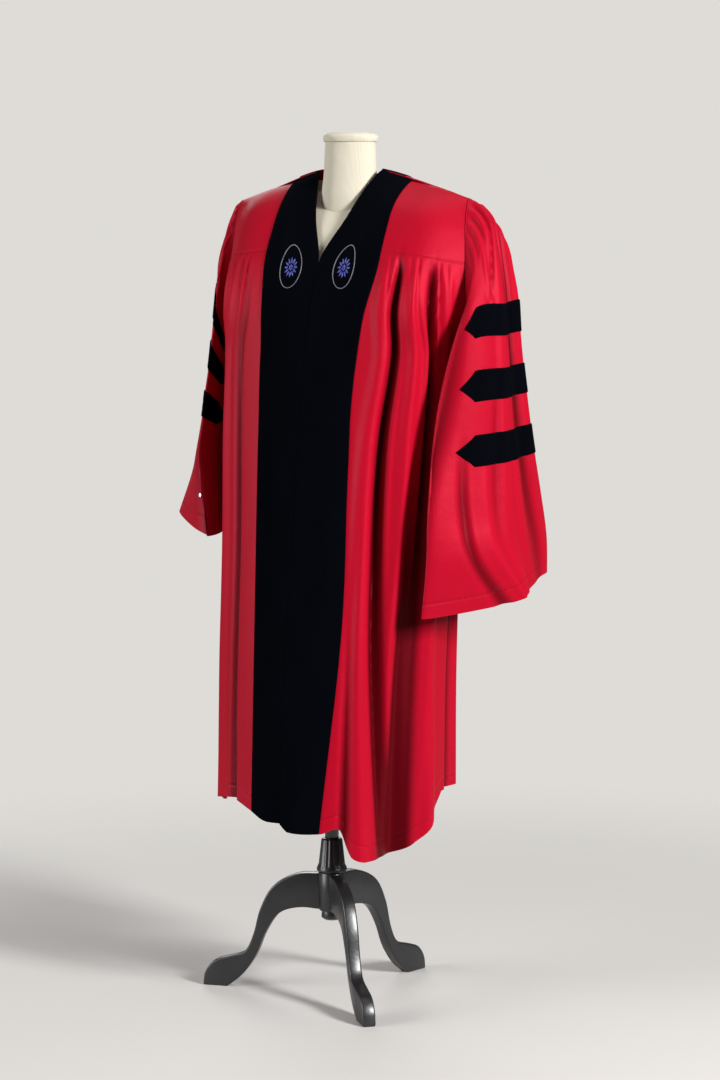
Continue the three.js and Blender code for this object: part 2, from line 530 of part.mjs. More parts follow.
for (const [side, word] of [[1, 'left'], [-1, 'right']]) {
  const surface = sleeveSurface(side);
  const rows = side > 0 ? sleeveLeft : sleeveRight;
  const flip = side > 0;
  const rowDrops = rows.map((row) => row.drop);
  const barDrops = barRows.map((row) => (rowDrops[row] + rowDrops[row + 1]) / 2);
  const drops = [0, ...rowDrops, ...barDrops].sort((a, b) => a - b);
  const shares = steps(sleeveColumns, 0, 1).slice(0, -1);
  const grid = makeGrid(surface, shares, drops, flip);
  const upperHalves = barRows.map((row) => drops.indexOf(rowDrops[row]));
  const { first, last } = barSpans[word];
  const underTip = (r, c) => (c === first - 1 && upperHalves.includes(r)) || (c === last && upperHalves.includes(r - 1));
  addMesh(`sleeve_${word}`, wallGeometry(grid, 0, -clothWall, true, underTip), clothColour);
  barRows.forEach((row, i) => {
    const barGrid = [rowDrops[row], barDrops[i], rowDrops[row + 1]].map((drop, line) => {
      const inner = steps(last - first - 2, first + 1, last - 1);
      const middle = [first - 1, first, ...inner, last, last + 1];
      const edge = [first, first + 0.5, ...inner, last - 0.5, last];
      const columns = line === 1 ? middle : edge;
      return makeGrid(surface, columns.map((column) => column / sleeveColumns), [drop], flip)[0];
    });
    const lastCell = barGrid[0].length - 2;
    const tip = (r, c) => (r === 1 && c === 0) || (r === 0 && c === lastCell);
    addMesh(`bar_${word}_${i + 1}`, wallGeometry(barGrid, barLay + velvetWall, barLay, false, tip), velvetColour);
  });
}

// The neckband lies on the back yoke, from one facing round to the other.
const bandColumns = 12;
const bandReach = bandColumns / yokeBackColumns;
const bandDrops = [ridgeGap, yokeSeamBack / yokeBackRows];
const bandGrid = makeGrid(backSurface, steps(bandColumns, -bandReach, bandReach), bandDrops, false);
addMesh('neckband', wallGeometry(bandGrid, layGap + velvetWall, layGap, false), velvetColour);

// Level rows of the form's body, each an oval: half width, front, back and how square its ends are.
const torsoRows = [
  { z: 872, half: 128, front: -58, back: 86 },
  { z: 890, half: 150, front: -74, back: 102 },
  { z: 940, half: 162, front: -84, back: 112 },
  { z: 1010, half: 146, front: -76, back: 104 },
  { z: 1080, half: 132, front: -70, back: 96 },
  { z: 1160, half: 140, front: -76, back: 100 },
  { z: 1250, half: 152, front: -88, back: 110 },
  { z: 1320, half: 160, front: -90, back: 114 },
  { z: 1375, half: 170, front: -78, back: 114 },
  { z: 1420, half: 180, front: -57, back: 108 },
  { z: 1452, half: 187, front: -34, back: 98 },
  { z: 1478, half: 189, front: -10, back: 84 },
  { z: 1494, half: 187, front: 8, back: 70 },
];
const ridgeHalves = [183, 155, 128, 108];
const ridgeDepth = 12;
const ridgeMiddle = 40;
const formRest = 2.35;
const formSides = 24;
const neckRows = [
  { z: 1400, half: 60, front: -14, back: 78 },
  { z: 1480, half: 57, front: -24, back: 80 },
  { z: 1530, half: 50, front: -20, back: 74 },
  { z: 1580, half: 48, front: -17, back: 72 },
  { z: 1592, half: 47.5, front: -16, back: 71.5 },
];
const neckCapRows = [
  { z: 1592.3, half: 50, front: -19, back: 75 },
  { z: 1598, half: 51.5, front: -20.5, back: 76.5 },
  { z: 1604, half: 50, front: -19, back: 75 },
  { z: 1609, half: 40, front: -9, back: 65 },
];

// A closed solid through level ovals, flat at both ends.
function ovalLoft(rows, sides) {
  const positions = [];
  for (const row of rows) {
    const centre = (row.front + row.back) / 2;
    const depth = (row.back - row.front) / 2;
    for (let i = 0; i < sides; i += 1) {
      const turn = (i / sides) * 2 * Math.PI;
      positions.push(row.half * Math.cos(turn), centre + depth * Math.sin(turn), row.z);
    }
  }
  const ends = [rows[0], rows[rows.length - 1]];
  for (const row of ends) positions.push(0, (row.front + row.back) / 2, row.z);
  const bottom = rows.length * sides;
  const faces = [];
  for (let r = 0; r < rows.length - 1; r += 1) {
    for (let i = 0; i < sides; i += 1) {
      const next = (i + 1) % sides;
      const a = r * sides + i;
      const b = r * sides + next;
      faces.push(a, b, b + sides, a, b + sides, a + sides);
    }
  }
  for (let i = 0; i < sides; i += 1) {
    const next = (i + 1) % sides;
    const top = (rows.length - 1) * sides;
    faces.push(bottom, next, i, bottom + 1, top + i, top + next);
  }
  const geometry = new THREE.BufferGeometry();
  geometry.setAttribute('position', new THREE.Float32BufferAttribute(positions, 3));
  geometry.setIndex(faces);
  return faceOutward(geometry);
}

function toSolid(geometry) {
  const plain = geometry.clone();
  plain.deleteAttribute('normal');
  plain.deleteAttribute('uv');
  const merged = mergeVertices(plain, 0.0005);
  const vertProperties = new Float32Array(merged.getAttribute('position').array);
  const triVerts = new Uint32Array(merged.getIndex().array);
  return new wasm.Manifold(new wasm.Mesh({ numProp: 3, vertProperties, triVerts }));
}

function toGeometry(solid) {
  const mesh = solid.getMesh();
  const geometry = new THREE.BufferGeometry();
  geometry.setAttribute('position', new THREE.Float32BufferAttribute(mesh.vertProperties, 3));
  geometry.setIndex(Array.from(mesh.triVerts));
  geometry.computeVertexNormals();
  return geometry;
}

// The form's shoulder line follows the gown's own shoulder seam, a little under the cloth.
const shoulderSeam = frontShoulder.find((row) => row.drop === 0);
const seamNames = Object.keys(frontStations);
const shoulderHeight = (x) => smoothAt(seamNames.map((n) => shoulderSeam[n][0]), seamNames.map((n) => shoulderSeam[n][2]), x);
const shoulderRows = ridgeHalves.map((half) => ({
  z: shoulderHeight(half) - formRest,
  half,
  front: ridgeMiddle - ridgeDepth,
  back: ridgeMiddle + ridgeDepth,
}));
const torso = toSolid(ovalLoft([...torsoRows, ...shoulderRows], formSides));
const neck = toSolid(ovalLoft(neckRows, formSides));
addMesh('form_torso', toGeometry(torso.add(neck)), linenColour);
addMesh('form_neck_cap', ovalLoft(neckCapRows, formSides), linenColour);

// The stand: a round pole up to the form, a tapered collar, a hub and three sawn cabriole legs.
const poleAt = { x: -16, y: -14 };
const poleRadius = 13;
const poleTop = 871.7;
const hubRadius = 25;
const hubTop = 232;
const hubBottom = 158;
const collarProfile = [[17, 296], [20, 293], [25, 247], [27, 242], [28.5, 239], [28.5, 235], [26, 232.3]];
const stubProfile = [[19, hubBottom - 0.3], [20, 145], [15, 141]];
const legThickness = 24;
const legAngles = [-44, 76, 196];
const legTop = [[20, 229], [66, 225], [112, 200], [138, 154], [152, 103], [169, 70], [201, 58], [230, 48], [247, 26], [251, 0]];
const legUnder = [[203, 0], [176, 22], [148, 61], [127, 110], [100, 148], [62, 161], [20, 160]];

function turned(profile, sides) {
  const points = profile.map(([r, z]) => new THREE.Vector2(r, z));
  points.unshift(new THREE.Vector2(0, profile[0][1]));
  points.push(new THREE.Vector2(0, profile[profile.length - 1][1]));
  const geometry = new THREE.LatheGeometry(points, sides);
  geometry.rotateX(Math.PI / 2);
  geometry.translate(poleAt.x, poleAt.y, 0);
  return faceOutward(mergeVertices(bare(geometry), 0.0005));
}

function bare(geometry) {
  geometry.deleteAttribute('normal');
  geometry.deleteAttribute('uv');
  return geometry;
}

function legGeometry(angle) {
  const curve = (list) => new THREE.SplineCurve(list.map(([r, z]) => new THREE.Vector2(r, z))).getPoints(20);
  const shape = new THREE.Shape([...curve(legTop), ...curve(legUnder)]);
  const geometry = new THREE.ExtrudeGeometry(shape, { depth: legThickness, bevelEnabled: false });
  geometry.translate(0, 0, -legThickness / 2);
  geometry.rotateX(Math.PI / 2);
  geometry.rotateZ(THREE.MathUtils.degToRad(angle));
  geometry.translate(poleAt.x, poleAt.y, 0);
  return geometry;
}

addMesh('stand_pole', turned([[poleRadius, poleTop], [poleRadius, 296.3]], 20), blackWood);
addMesh('stand_collar', turned(collarProfile, 24), blackWood);
const hub = toSolid(turned([[hubRadius, hubTop], [hubRadius, hubBottom]], 24));
addMesh('stand_hub', toGeometry(hub), blackWood);
addMesh('stand_stub', turned(stubProfile, 20), blackWood);
const hubClear = toSolid(turned([[hubRadius + seamGap, hubTop + 10], [hubRadius + seamGap, hubBottom - 10]], 24));
legAngles.forEach((angle, i) => {
  const leg = toSolid(legGeometry(angle)).subtract(hubClear);
  addMesh(`stand_leg_${i + 1}`, toGeometry(leg), blackWood);
});

// The small metal snap stitched to the front of the right sleeve.
const snapPlace = { share: 0.27, drop: 566 };
const snapRadius = 5;
const snapHeight = 2.2;
const snapSides = 20;
const rightSleeve = sleeveSurface(-1);
const snapNormal = normalOf(rightSleeve, snapPlace.share, snapPlace.drop, 0.01, 4, false);
const snapGeometry = new THREE.CylinderGeometry(snapRadius * 0.8, snapRadius, snapHeight, snapSides);
const snap = addMesh('snap_right', snapGeometry, snapMetal);
const snapLift = seamGap + 0.4 + snapHeight / 2;
snap.position.copy(lifted(rightSleeve(snapPlace.share, snapPlace.drop), snapNormal, snapLift));
snap.quaternion.setFromUnitVectors(new THREE.Vector3(0, 1, 0), snapNormal);

// The origin lies at the middle of the part's box, on the floor.
const box = new THREE.Box3().setFromObject(gown);
gown.position.set(-(box.min.x + box.max.x) / 2, -(box.min.y + box.max.y) / 2, -box.min.z);
gown.updateMatrixWorld(true);

export default gown;
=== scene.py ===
import math
import bpy
import numpy as np
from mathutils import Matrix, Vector


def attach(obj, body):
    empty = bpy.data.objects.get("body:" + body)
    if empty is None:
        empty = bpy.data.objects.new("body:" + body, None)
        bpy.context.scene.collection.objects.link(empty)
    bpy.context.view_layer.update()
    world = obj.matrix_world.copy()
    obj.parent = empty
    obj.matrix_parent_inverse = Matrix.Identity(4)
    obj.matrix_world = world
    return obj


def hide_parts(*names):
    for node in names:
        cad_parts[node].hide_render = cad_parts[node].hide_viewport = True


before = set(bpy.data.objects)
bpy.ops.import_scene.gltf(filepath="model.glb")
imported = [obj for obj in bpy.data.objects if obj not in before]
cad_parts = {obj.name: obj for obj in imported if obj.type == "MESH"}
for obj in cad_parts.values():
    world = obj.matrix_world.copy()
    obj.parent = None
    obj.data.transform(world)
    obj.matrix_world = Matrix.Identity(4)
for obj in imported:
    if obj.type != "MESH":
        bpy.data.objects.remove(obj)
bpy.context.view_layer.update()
mm = 0.001
frameShift = (-2.309, -0.826, 0.0)

# The cloth's shape is worked out in millimetres. The gown faces -Y and the wearer's left is +X.
gownSizes = {
    "underarmDrop": 350,
    "hemDrop": 1190,
    "yokeSeamFront": 350 * 4 / 9,
    "yokeSeamBack": 350 * 5 / 9,
    "clothWall": 1.4,
    "velvetWall": 1.5,
    "velvetLip": 0.3,
    "seamGap": 0.3,
    "layGap": 0.3,
    "ridgeGap": 0.3,
    "armholeGap": 1.2,
    "closureGap": 0.3,
    "panelArc": 340,
    "sleeveArc": 520,
    "foldMiddle": 0.38,
    "foldRise": 60,
}


def tabled(columns, rows):
    return [dict(zip(columns.split(), row)) for row in rows]


def pointTable(columns, rows):
    # each row is a drop, then x, y and z for each named place
    return tabled(columns, [(row[0], *zip(row[1::3], row[2::3], row[3::3])) for row in rows])


# Shoulder rows of a front, from behind the shoulder seam down to the chest
frontShoulder = pointTable(
    "drop edge velvet middle armhole",
    [
        (-60, 70, 80, 1532, 125, 95, 1505, 182, 97, 1490, 240, 90, 1466),
        (0, 66, 34, 1541, 125, 38, 1520, 183, 40, 1507, 240, 38, 1488),
        (55, 50, -6, 1505, 120, -22, 1482, 188, -20, 1471, 249, 6, 1446),
        (120, 31, -44, 1450, 119, -64, 1425, 192, -56, 1415, 256, -8, 1400),
        (175, 1.2, -85, 1378, 121, -92, 1372, 196, -76, 1366, 260, -16, 1350),
        (255, 0.4, -118, 1295, 123, -112, 1292, 199, -90, 1288, 259, -12, 1280),
    ],
)
frontStations = {"edge": 0, "velvet": 0.4, "middle": 0.68, "armhole": 1}
# Shoulder rows of the back, down to the blades
backShoulder = pointTable(
    "drop centre nape neck middle armhole",
    [
        (-60, 0, 66, 1560, 34, 50, 1548, 50, -6, 1505, 170, -18, 1476, 249, 6, 1446),
        (0, 0, 92, 1530, 43, 77, 1535, 66, 34, 1541, 170, 40, 1510, 240, 38, 1488),
        (60, 0, 116, 1474, 38, 109, 1488, 72, 84, 1510, 172, 92, 1486, 249, 80, 1452),
        (130, 0, 132, 1404, 41, 131, 1410, 80, 126, 1420, 176, 122, 1412, 256, 98, 1390),
        (190, 0, 139, 1344, 43, 139, 1346, 84, 137, 1350, 180, 130, 1350, 260, 102, 1334),
        (255, 0, 144, 1279, 44, 143.5, 1280, 86, 142, 1283, 182, 132, 1284, 258, 90, 1276),
    ],
)
backStations = {"centre": 0, "nape": 0.15, "neck": 0.28, "middle": 0.62, "armhole": 1}
# Level rows below the underarm: half widths, depths at the centre front and back, and the side seam
skirtRows = tabled(
    "drop z left right front back side full",
    [
        (350, 1205, 233, 234, -139, 151, 36, 0.6),
        (490, 1070, 227, 236, -160, 156, 26, 0.8),
        (700, 860, 215, 233, -184, 160, 16, 0.95),
        (920, 640, 207, 230, -212, 163, 10, 1),
        (1190, 0, 205, 231, -229, 160, 8, 1),
    ],
)
# The wearer's right armhole sits a little closer in
rightPull = tabled(
    "drop pull",
    [
        (-60, 1), (0, 1), (60, 0.95), (120, 0.92), (190, 0.91), (255, 0.93), (350, 1),
    ],
)
# Hem heights round the body, by share of the panel
hemFrontLeft = tabled(
    "at z",
    [
        (0, 362), (0.05, 349), (0.24, 349), (0.35, 355), (0.41, 304), (0.6, 300), (0.71, 306),
        (0.81, 328), (0.9, 364), (1, 404),
    ],
)
# Hem height of the right front
hemFrontRight = tabled(
    "at z",
    [
        (0, 364), (0.1, 365), (0.2, 380), (0.35, 392), (0.6, 378), (0.74, 364), (0.88, 374),
        (1, 388),
    ],
)
# Hem height of the back
hemBack = tabled(
    "at z",
    [
        (-1, 388), (-0.5, 396), (0, 398), (0.5, 404), (1, 404),
    ],
)
# Share of a front that its velvet covers
velvetEdgeLeft = tabled(
    "drop at",
    [
        (0, 0.4), (175, 0.42), (350, 0.29), (560, 0.29), (880, 0.315), (1190, 0.232),
    ],
)
# The same for the right front
velvetEdgeRight = tabled(
    "drop at",
    [
        (0, 0.39), (120, 0.385), (255, 0.345), (350, 0.28), (700, 0.235), (920, 0.2), (1190, 0.185),
    ],
)
# Folds: place at top, middle and hem, half widths and depths; a valley is below nought
foldsFrontLeft = tabled(
    "topAt midAt hemAt topHalf hemHalf top mid hem",
    [
        (0.58, 0.46, 0.59, 15, 24, -13, -19, -8),
        (0.48, 0.385, 0.45, 22, 26, 4, 8, 9),
        (0.68, 0.6, 0.63, 22, 26, 7, 9, 2),
        (0.8, 0.76, 0.74, 13, 24, -12, -15, -4),
        (0.9, 0.86, 0.86, 16, 28, 6, 9, 15),
        (0.66, 0.67, 0.665, 30, 36, 0, 0, -27),
        (0.36, 0.36, 0.365, 12, 16, 0, 0, -9),
    ],
)
# Folds of the right front
foldsFrontRight = tabled(
    "topAt midAt hemAt topHalf hemHalf top mid hem",
    [
        (0.95, 0.93, 0.93, 14, 26, -7, -9, -10),
        (0.88, 0.84, 0.82, 14, 30, 4, 8, 9),
        (0.8, 0.72, 0.68, 16, 24, -4, -8, -9),
        (0.66, 0.6, 0.54, 26, 30, 3, 7, 9),
        (0.5, 0.44, 0.37, 20, 22, 0, -8, -11),
    ],
)
# Folds of the back
foldsBack = tabled(
    "topAt midAt hemAt topHalf hemHalf top mid hem",
    [
        (-0.93, -0.9, -0.86, 24, 38, 2, 8, 14),
        (-0.74, -0.72, -0.66, 24, 34, -2, -8, -15),
        (-0.55, -0.52, -0.46, 24, 38, 2, 9, 16),
        (-0.34, -0.3, -0.26, 24, 34, -2, -9, -14),
        (-0.12, -0.1, -0.07, 24, 38, 2, 8, 15),
        (0.1, 0.12, 0.13, 24, 32, -2, -9, -15),
        (0.32, 0.33, 0.33, 24, 38, 2, 9, 15),
        (0.52, 0.53, 0.52, 24, 32, -2, -8, -13),
        (0.72, 0.72, 0.71, 24, 36, 2, 8, 14),
        (0.9, 0.89, 0.88, 24, 30, -2, -6, -10),
    ],
)
sleeveStations = {"inner": 0, "front": 0.24, "crease": 0.37, "outer": 0.52, "rear": 0.66, "back": 0.8}
# Rows of the left sleeve below the armhole, x counted outward
sleeveLeft = pointTable(
    "drop inner front crease outer rear back",
    [
        (26, 243, 36, 1190, 266, -20, 1312, 264, -4, 1412, 262, 42, 1476, 266, 86, 1412, 268, 96, 1312),
        (70, 247, 38, 1176, 274, -30, 1292, 280, -14, 1384, 290, 38, 1446, 294, 84, 1394, 280, 108, 1294),
        (140, 250, 40, 1160, 270, -46, 1268, 290, -28, 1340, 308, 30, 1384, 308, 84, 1344, 286, 116, 1272),
        (228, 251, 42, 1146, 263, -56, 1240, 297, -40, 1294, 320, 26, 1300, 317, 84, 1303, 289, 120, 1252),
        (285, 251, 42, 1128, 256, -66, 1204, 298, -42, 1239, 323, 26, 1243, 320, 86, 1247, 290, 124, 1214),
        (342, 251, 43, 1104, 249, -76, 1160, 299, -44, 1182, 326, 26, 1186, 324, 90, 1191, 292, 129, 1168),
        (398, 251, 44, 1074, 244, -88, 1112, 300, -45, 1126, 328, 27, 1131, 329, 95, 1137, 294, 134, 1118),
        (456, 252, 45, 1036, 241, -100, 1059, 301, -46, 1067, 330, 28, 1073, 334, 101, 1081, 297, 140, 1070),
        (514, 252, 46, 990, 240, -112, 1006, 301, -47, 1010, 333, 30, 1017, 339, 108, 1027, 300, 148, 1020),
        (600, 251, 47, 920, 240, -124, 926, 306, -50, 925, 338, 36, 932, 344, 126, 944, 305, 164, 936),
        (690, 250, 48, 846, 240, -126, 834, 320, -42, 848, 344, 50, 860, 348, 140, 870, 305, 178, 862),
        (775, 250, 50, 776, 236, -130, 741, 346, 22, 762, 352, 72, 782, 345, 148, 804, 302, 186, 798),
    ],
)
# Rows of the right sleeve
sleeveRight = pointTable(
    "drop inner front crease outer rear back",
    [
        (26, 243, 38, 1194, 246, -22, 1326, 244, -6, 1420, 251, 38, 1474, 262, 84, 1416, 264, 98, 1318),
        (70, 246, 42, 1182, 248, -30, 1310, 250, -16, 1396, 267, 38, 1440, 280, 88, 1396, 270, 110, 1300),
        (120, 247, 44, 1172, 250, -36, 1290, 258, -22, 1358, 280, 36, 1386, 284, 90, 1352, 270, 118, 1284),
        (178, 248, 46, 1160, 250, -38, 1272, 262, -22, 1326, 283, 36, 1332, 286, 92, 1338, 270, 124, 1284),
        (233, 249, 47, 1146, 254, -40, 1244, 268, -22, 1271, 288, 37, 1278, 290, 95, 1285, 271, 130, 1254),
        (278, 250, 48, 1130, 258, -42, 1210, 273, -22, 1227, 292, 38, 1235, 294, 98, 1243, 272, 134, 1222),
        (331, 252, 49, 1106, 262, -46, 1166, 279, -23, 1174, 297, 39, 1183, 299, 101, 1192, 275, 139, 1180),
        (374, 253, 50, 1082, 265, -52, 1128, 285, -25, 1132, 301, 40, 1142, 303, 104, 1152, 278, 143, 1142),
        (424, 254, 51, 1046, 267, -60, 1080, 290, -27, 1082, 306, 40, 1092, 309, 107, 1102, 282, 148, 1096),
        (510, 256, 50, 986, 266, -78, 1004, 305, -31, 1000, 318, 40, 1010, 320, 110, 1018, 288, 156, 1012),
        (620, 258, 46, 882, 236, -98, 863, 343, -30, 896, 348, 40, 908, 345, 114, 914, 304, 166, 906),
    ],
)
# Folds of the left sleeve
sleeveFoldsLeft = tabled(
    "topAt midAt hemAt topHalf hemHalf top mid hem",
    [
        (0.56, 0.57, 0.6, 16, 26, -6, -7, -3),
        (0.62, 0.63, 0.66, 16, 30, 4, 5, 4),
        (0.48, 0.49, 0.48, 14, 24, 3, 4, 3),
        (0.69, 0.71, 0.74, 14, 24, -4, -6, -5),
        (0.3, 0.28, 0.18, 20, 36, 0, -5, -10),
        (0.9, 0.9, 0.9, 20, 34, -2, -5, -8),
    ],
)
# Folds of the right sleeve
sleeveFoldsRight = tabled(
    "topAt midAt hemAt topHalf hemHalf top mid hem",
    [
        (0.55, 0.55, 0.56, 16, 26, -5, -6, -4),
        (0.63, 0.64, 0.66, 16, 28, 4, 5, 5),
        (0.71, 0.72, 0.74, 14, 24, -4, -5, -6),
        (0.3, 0.3, 0.24, 18, 30, 0, -3, -6),
        (0.9, 0.9, 0.9, 20, 32, -2, -5, -7),
    ],
)
# Level ovals of the form's body
torsoRows = tabled(
    "z half front back",
    [
        (872, 128, -58, 86),
        (890, 150, -74, 102),
        (940, 162, -84, 112),
        (1010, 146, -76, 104),
        (1080, 132, -70, 96),
        (1160, 140, -76, 100),
        (1250, 152, -88, 110),
        (1320, 160, -90, 114),
        (1375, 170, -78, 114),
        (1420, 180, -57, 108),
        (1452, 187, -34, 98),
        (1478, 189, -10, 84),
        (1494, 187, 8, 70),
    ],
)
# Level ovals of the form's neck
neckRows = tabled(
    "z half front back",
    [
        (1400, 60, -14, 78),
        (1480, 57, -24, 80),
        (1530, 50, -20, 74),
        (1580, 48, -17, 72),
        (1592, 47.5, -16, 71.5),
    ],
)
# The cap on the neck
neckCapRows = tabled(
    "z half front back",
    [
        (1592.3, 50, -19, 75),
        (1598, 51.5, -20.5, 76.5),
        (1604, 50, -19, 75),
        (1609, 40, -9, 65),
    ],
)


def smoothAt(knots, values, t):
    # one smooth curve through the knots, and straight past either end
    knots, values, t = (np.asarray(numbers, float) for numbers in (knots, values, t))
    last = len(knots) - 1
    before = np.clip(np.arange(last + 1) - 1, 0, last)
    after = np.clip(np.arange(last + 1) + 1, 0, last)
    width = (knots[after] - knots[before]).reshape((-1,) + (1,) * (values.ndim - 1))
    slopes = (values[after] - values[before]) / width
    i = np.clip(np.searchsorted(knots, t, side="right") - 1, 0, last - 1)
    h = knots[i + 1] - knots[i]
    s = (t - knots[i]) / h
    if values.ndim > 1:
        h, s, t = h[..., None], s[..., None], t[..., None]
    a, b = pick(values, i), pick(values, i + 1)
    da, db = pick(slopes, i), pick(slopes, i + 1)
    s2, s3 = s * s, s * s * s
    fromStart = (2 * s3 - 3 * s2 + 1) * a + (s3 - 2 * s2 + s) * h * da
    inside = fromStart + (3 * s2 - 2 * s3) * b + (s3 - s2) * h * db
    below = values[0] + slopes[0] * (t - knots[0])
    above = values[last] + slopes[last] * (t - knots[last])
    return np.where(t <= knots[0], below, np.where(t >= knots[last], above, inside))


def pick(values, i):
    if values.ndim < 3:
        return values[i]
    return np.take_along_axis(values, i[None, ..., None], axis=0)[0]


def readColumn(rows, key, at, t):
    return smoothAt([row[at] for row in rows], [row[key] for row in rows], t)


def blendStep(start, end, t):
    s = np.clip((np.asarray(t, float) - start) / (end - start), 0, 1)
    return s * s * (3 - 2 * s)


def bump(t):
    return np.where(np.abs(t) < 1, 0.5 + 0.5 * np.cos(np.pi * np.clip(t, -1, 1)), 0)


def roundOff(turn, full):
    c = np.cos(turn)
    return np.sign(c) * np.abs(c) ** full


def foldSum(folds, at, down, middle, arc):
    # each fold's place, half width and depth run smoothly from its top to the hem
    knots = [0, middle, 1]
    lift = np.zeros_like(down)
    for fold in folds:
        place = smoothAt(knots, [fold["topAt"], fold["midAt"], fold["hemAt"]], down)
        half = fold["topHalf"] + (fold["hemHalf"] - fold["topHalf"]) * down
        depth = smoothAt(knots, [fold["top"], fold["mid"], fold["hem"]], down)
        lift += depth * bump((at - place) * arc / half)
    return lift


def bodyFolds(folds, at, drop, start):
    sizes = gownSizes
    down = np.clip((drop - start) / (sizes["hemDrop"] - start), 0, 1)
    lift = foldSum(folds, at, down, sizes["foldMiddle"], sizes["panelArc"])
    return lift * blendStep(-2, sizes["foldRise"], drop - start)


# The shares of a crease's length where it has risen and where it starts to fall
creaseEnds = (0.3, 0.65)


def creaseLift(creases, at, drop, arc):
    # soft troughs and ridges, each along a bowed line from one place of the cloth to another
    rise, fall = creaseEnds
    lift = np.zeros_like(drop)
    for crease in creases:
        startX, startY = crease["at"] * arc, crease["drop"]
        alongX, alongY = crease["toAt"] * arc - startX, crease["toDrop"] - startY
        length = math.hypot(alongX, alongY)
        x, y = at * arc - startX, drop - startY
        share = (x * alongX + y * alongY) / length**2
        bow = crease["bow"] * np.sin(np.pi * np.clip(share, 0, 1))
        across = (y * alongX - x * alongY) / length - bow
        fade = blendStep(0, rise, share) * (1 - blendStep(fall, 1, share))
        lift += crease["depth"] * fade * bump(across / crease["half"])
    return lift


def stationPoints(row, stations, at, mirrored):
    knots = list(stations.values())
    points = np.array([row[name] for name in stations], float)
    if mirrored:
        points = np.vstack([points[1] * (-1, 1, 1), points])
        knots = [-knots[1]] + knots
    return smoothAt(knots, points, at)


def levelPoints(row, at, half, depthKey, hemHeight):
    turn = at * math.pi / 2
    y = row["side"] + (row[depthKey] - row["side"]) * roundOff(turn, row["full"])
    z = hemHeight if row["drop"] == gownSizes["hemDrop"] else np.full_like(at, row["z"])
    return np.stack([half * np.sin(turn), y, z], -1)


def throughRows(upper, lower, drop, seamShare):
    # near the side seam, the cloth below the underarm follows the level rows alone
    upperDrops, upperPoints = upper
    lowerDrops, lowerPoints = lower
    whole = smoothAt(upperDrops + lowerDrops, np.stack(upperPoints + lowerPoints), drop)
    level = smoothAt(lowerDrops, np.stack(lowerPoints), drop)
    below = (drop >= gownSizes["underarmDrop"])[..., None]
    return np.where(below, whole + (level - whole) * seamShare[..., None], whole)


def pullIn(side, drop, share):
    pull = 1 + (readColumn(rightPull, "pull", "drop", drop) - 1) * share**3
    return np.where((side < 0) & (drop < gownSizes["underarmDrop"]), pull, 1)


def frontBase(side, at, drop):
    # side is 1 at the wearer's left and -1 at the right
    hem = readColumn(hemFrontLeft if side > 0 else hemFrontRight, "z", "at", at)
    half = "left" if side > 0 else "right"
    upper = [stationPoints(row, frontStations, at, False) for row in frontShoulder]
    lower = [levelPoints(row, at, row[half], "front", hem) for row in skirtRows]
    upperDrops = [row["drop"] for row in frontShoulder]
    lowerDrops = [row["drop"] for row in skirtRows]
    point = throughRows((upperDrops, upper), (lowerDrops, lower), drop, at**4)
    across = np.maximum(point[..., 0], gownSizes["closureGap"])
    point[..., 0] = side * across * pullIn(side, drop, at)
    return point


def backBase(at, drop):
    share = np.abs(at)
    side = np.where(at < 0, -1, 1)
    hem = readColumn(hemBack, "z", "at", at)
    upper = [stationPoints(row, backStations, share, True) for row in backShoulder]
    lower = []
    for row in skirtRows:
        lower.append(levelPoints(row, share, np.where(side > 0, row["left"], row["right"]), "back", hem))
    upperDrops = [row["drop"] for row in backShoulder]
    lowerDrops = [row["drop"] for row in skirtRows]
    point = throughRows((upperDrops, upper), (lowerDrops, lower), drop, share**4)
    point[..., 0] = side * point[..., 0] * pullIn(side, drop, share)
    return point


def normalOf(surface, at, drop, stepAt, stepDrop, flip):
    alongAt = surface(at + stepAt, drop) - surface(at - stepAt, drop)
    alongDrop = surface(at, drop + stepDrop) - surface(at, drop - stepDrop)
    normal = np.cross(alongAt, alongDrop)
    normal /= np.maximum(np.linalg.norm(normal, axis=-1, keepdims=True), 1e-9)
    return -normal if flip else normal


def liftedBy(surface, at, drop, flip, lift, stepAt=0.01, stepDrop=4):
    return surface(at, drop) + normalOf(surface, at, drop, stepAt, stepDrop, flip) * lift[..., None]


# Pleats that run down from the yoke seam, and the smaller creases between the main folds
frontCloth = {
    "pleatCount": 15,
    "pleatDepth": 1.5,
    "pleatFade": 200,
    "pleatFrom": 0.44,
    "pleatEase": 0.08,
    "pleatTo": 0.93,
    "pleatMiddle": 1.2,
    "unevenBy": 0.012,
    "unevenTurns": 37,
    "creaseEase": 0.05,
    "creaseTo": 0.95,
}
creaseColumns = "at drop toAt toDrop bow half depth"
frontLeftCreases = tabled(
    creaseColumns,
    [
        (0.585, 110, 0.45, 700, 13, 11, -8.0),
        (0.455, 400, 0.62, 1330, 16, 12, -7.0),
        (0.81, 110, 0.76, 860, 3, 11, -7.0),
        (0.72, 170, 0.71, 470, -5, 13, 2.4),
        (0.66, 420, 0.58, 1000, 8, 16, 3.0),
        (0.35, 330, 0.34, 1180, 4, 16, 2.6),
        (0.9, 520, 0.8, 1240, -10, 14, -3.0),
        (0.7, 760, 0.66, 1300, 6, 20, -5.0),
    ],
)
frontRightCreases = tabled(
    creaseColumns,
    [
        (0.8, 130, 0.68, 1180, 4, 13, -5.0),
        (0.48, 150, 0.39, 1320, 5, 12, -4.0),
        (0.62, 300, 0.56, 1180, -5, 18, 2.6),
        (0.92, 300, 0.88, 1180, -4, 14, -3.0),
    ],
)
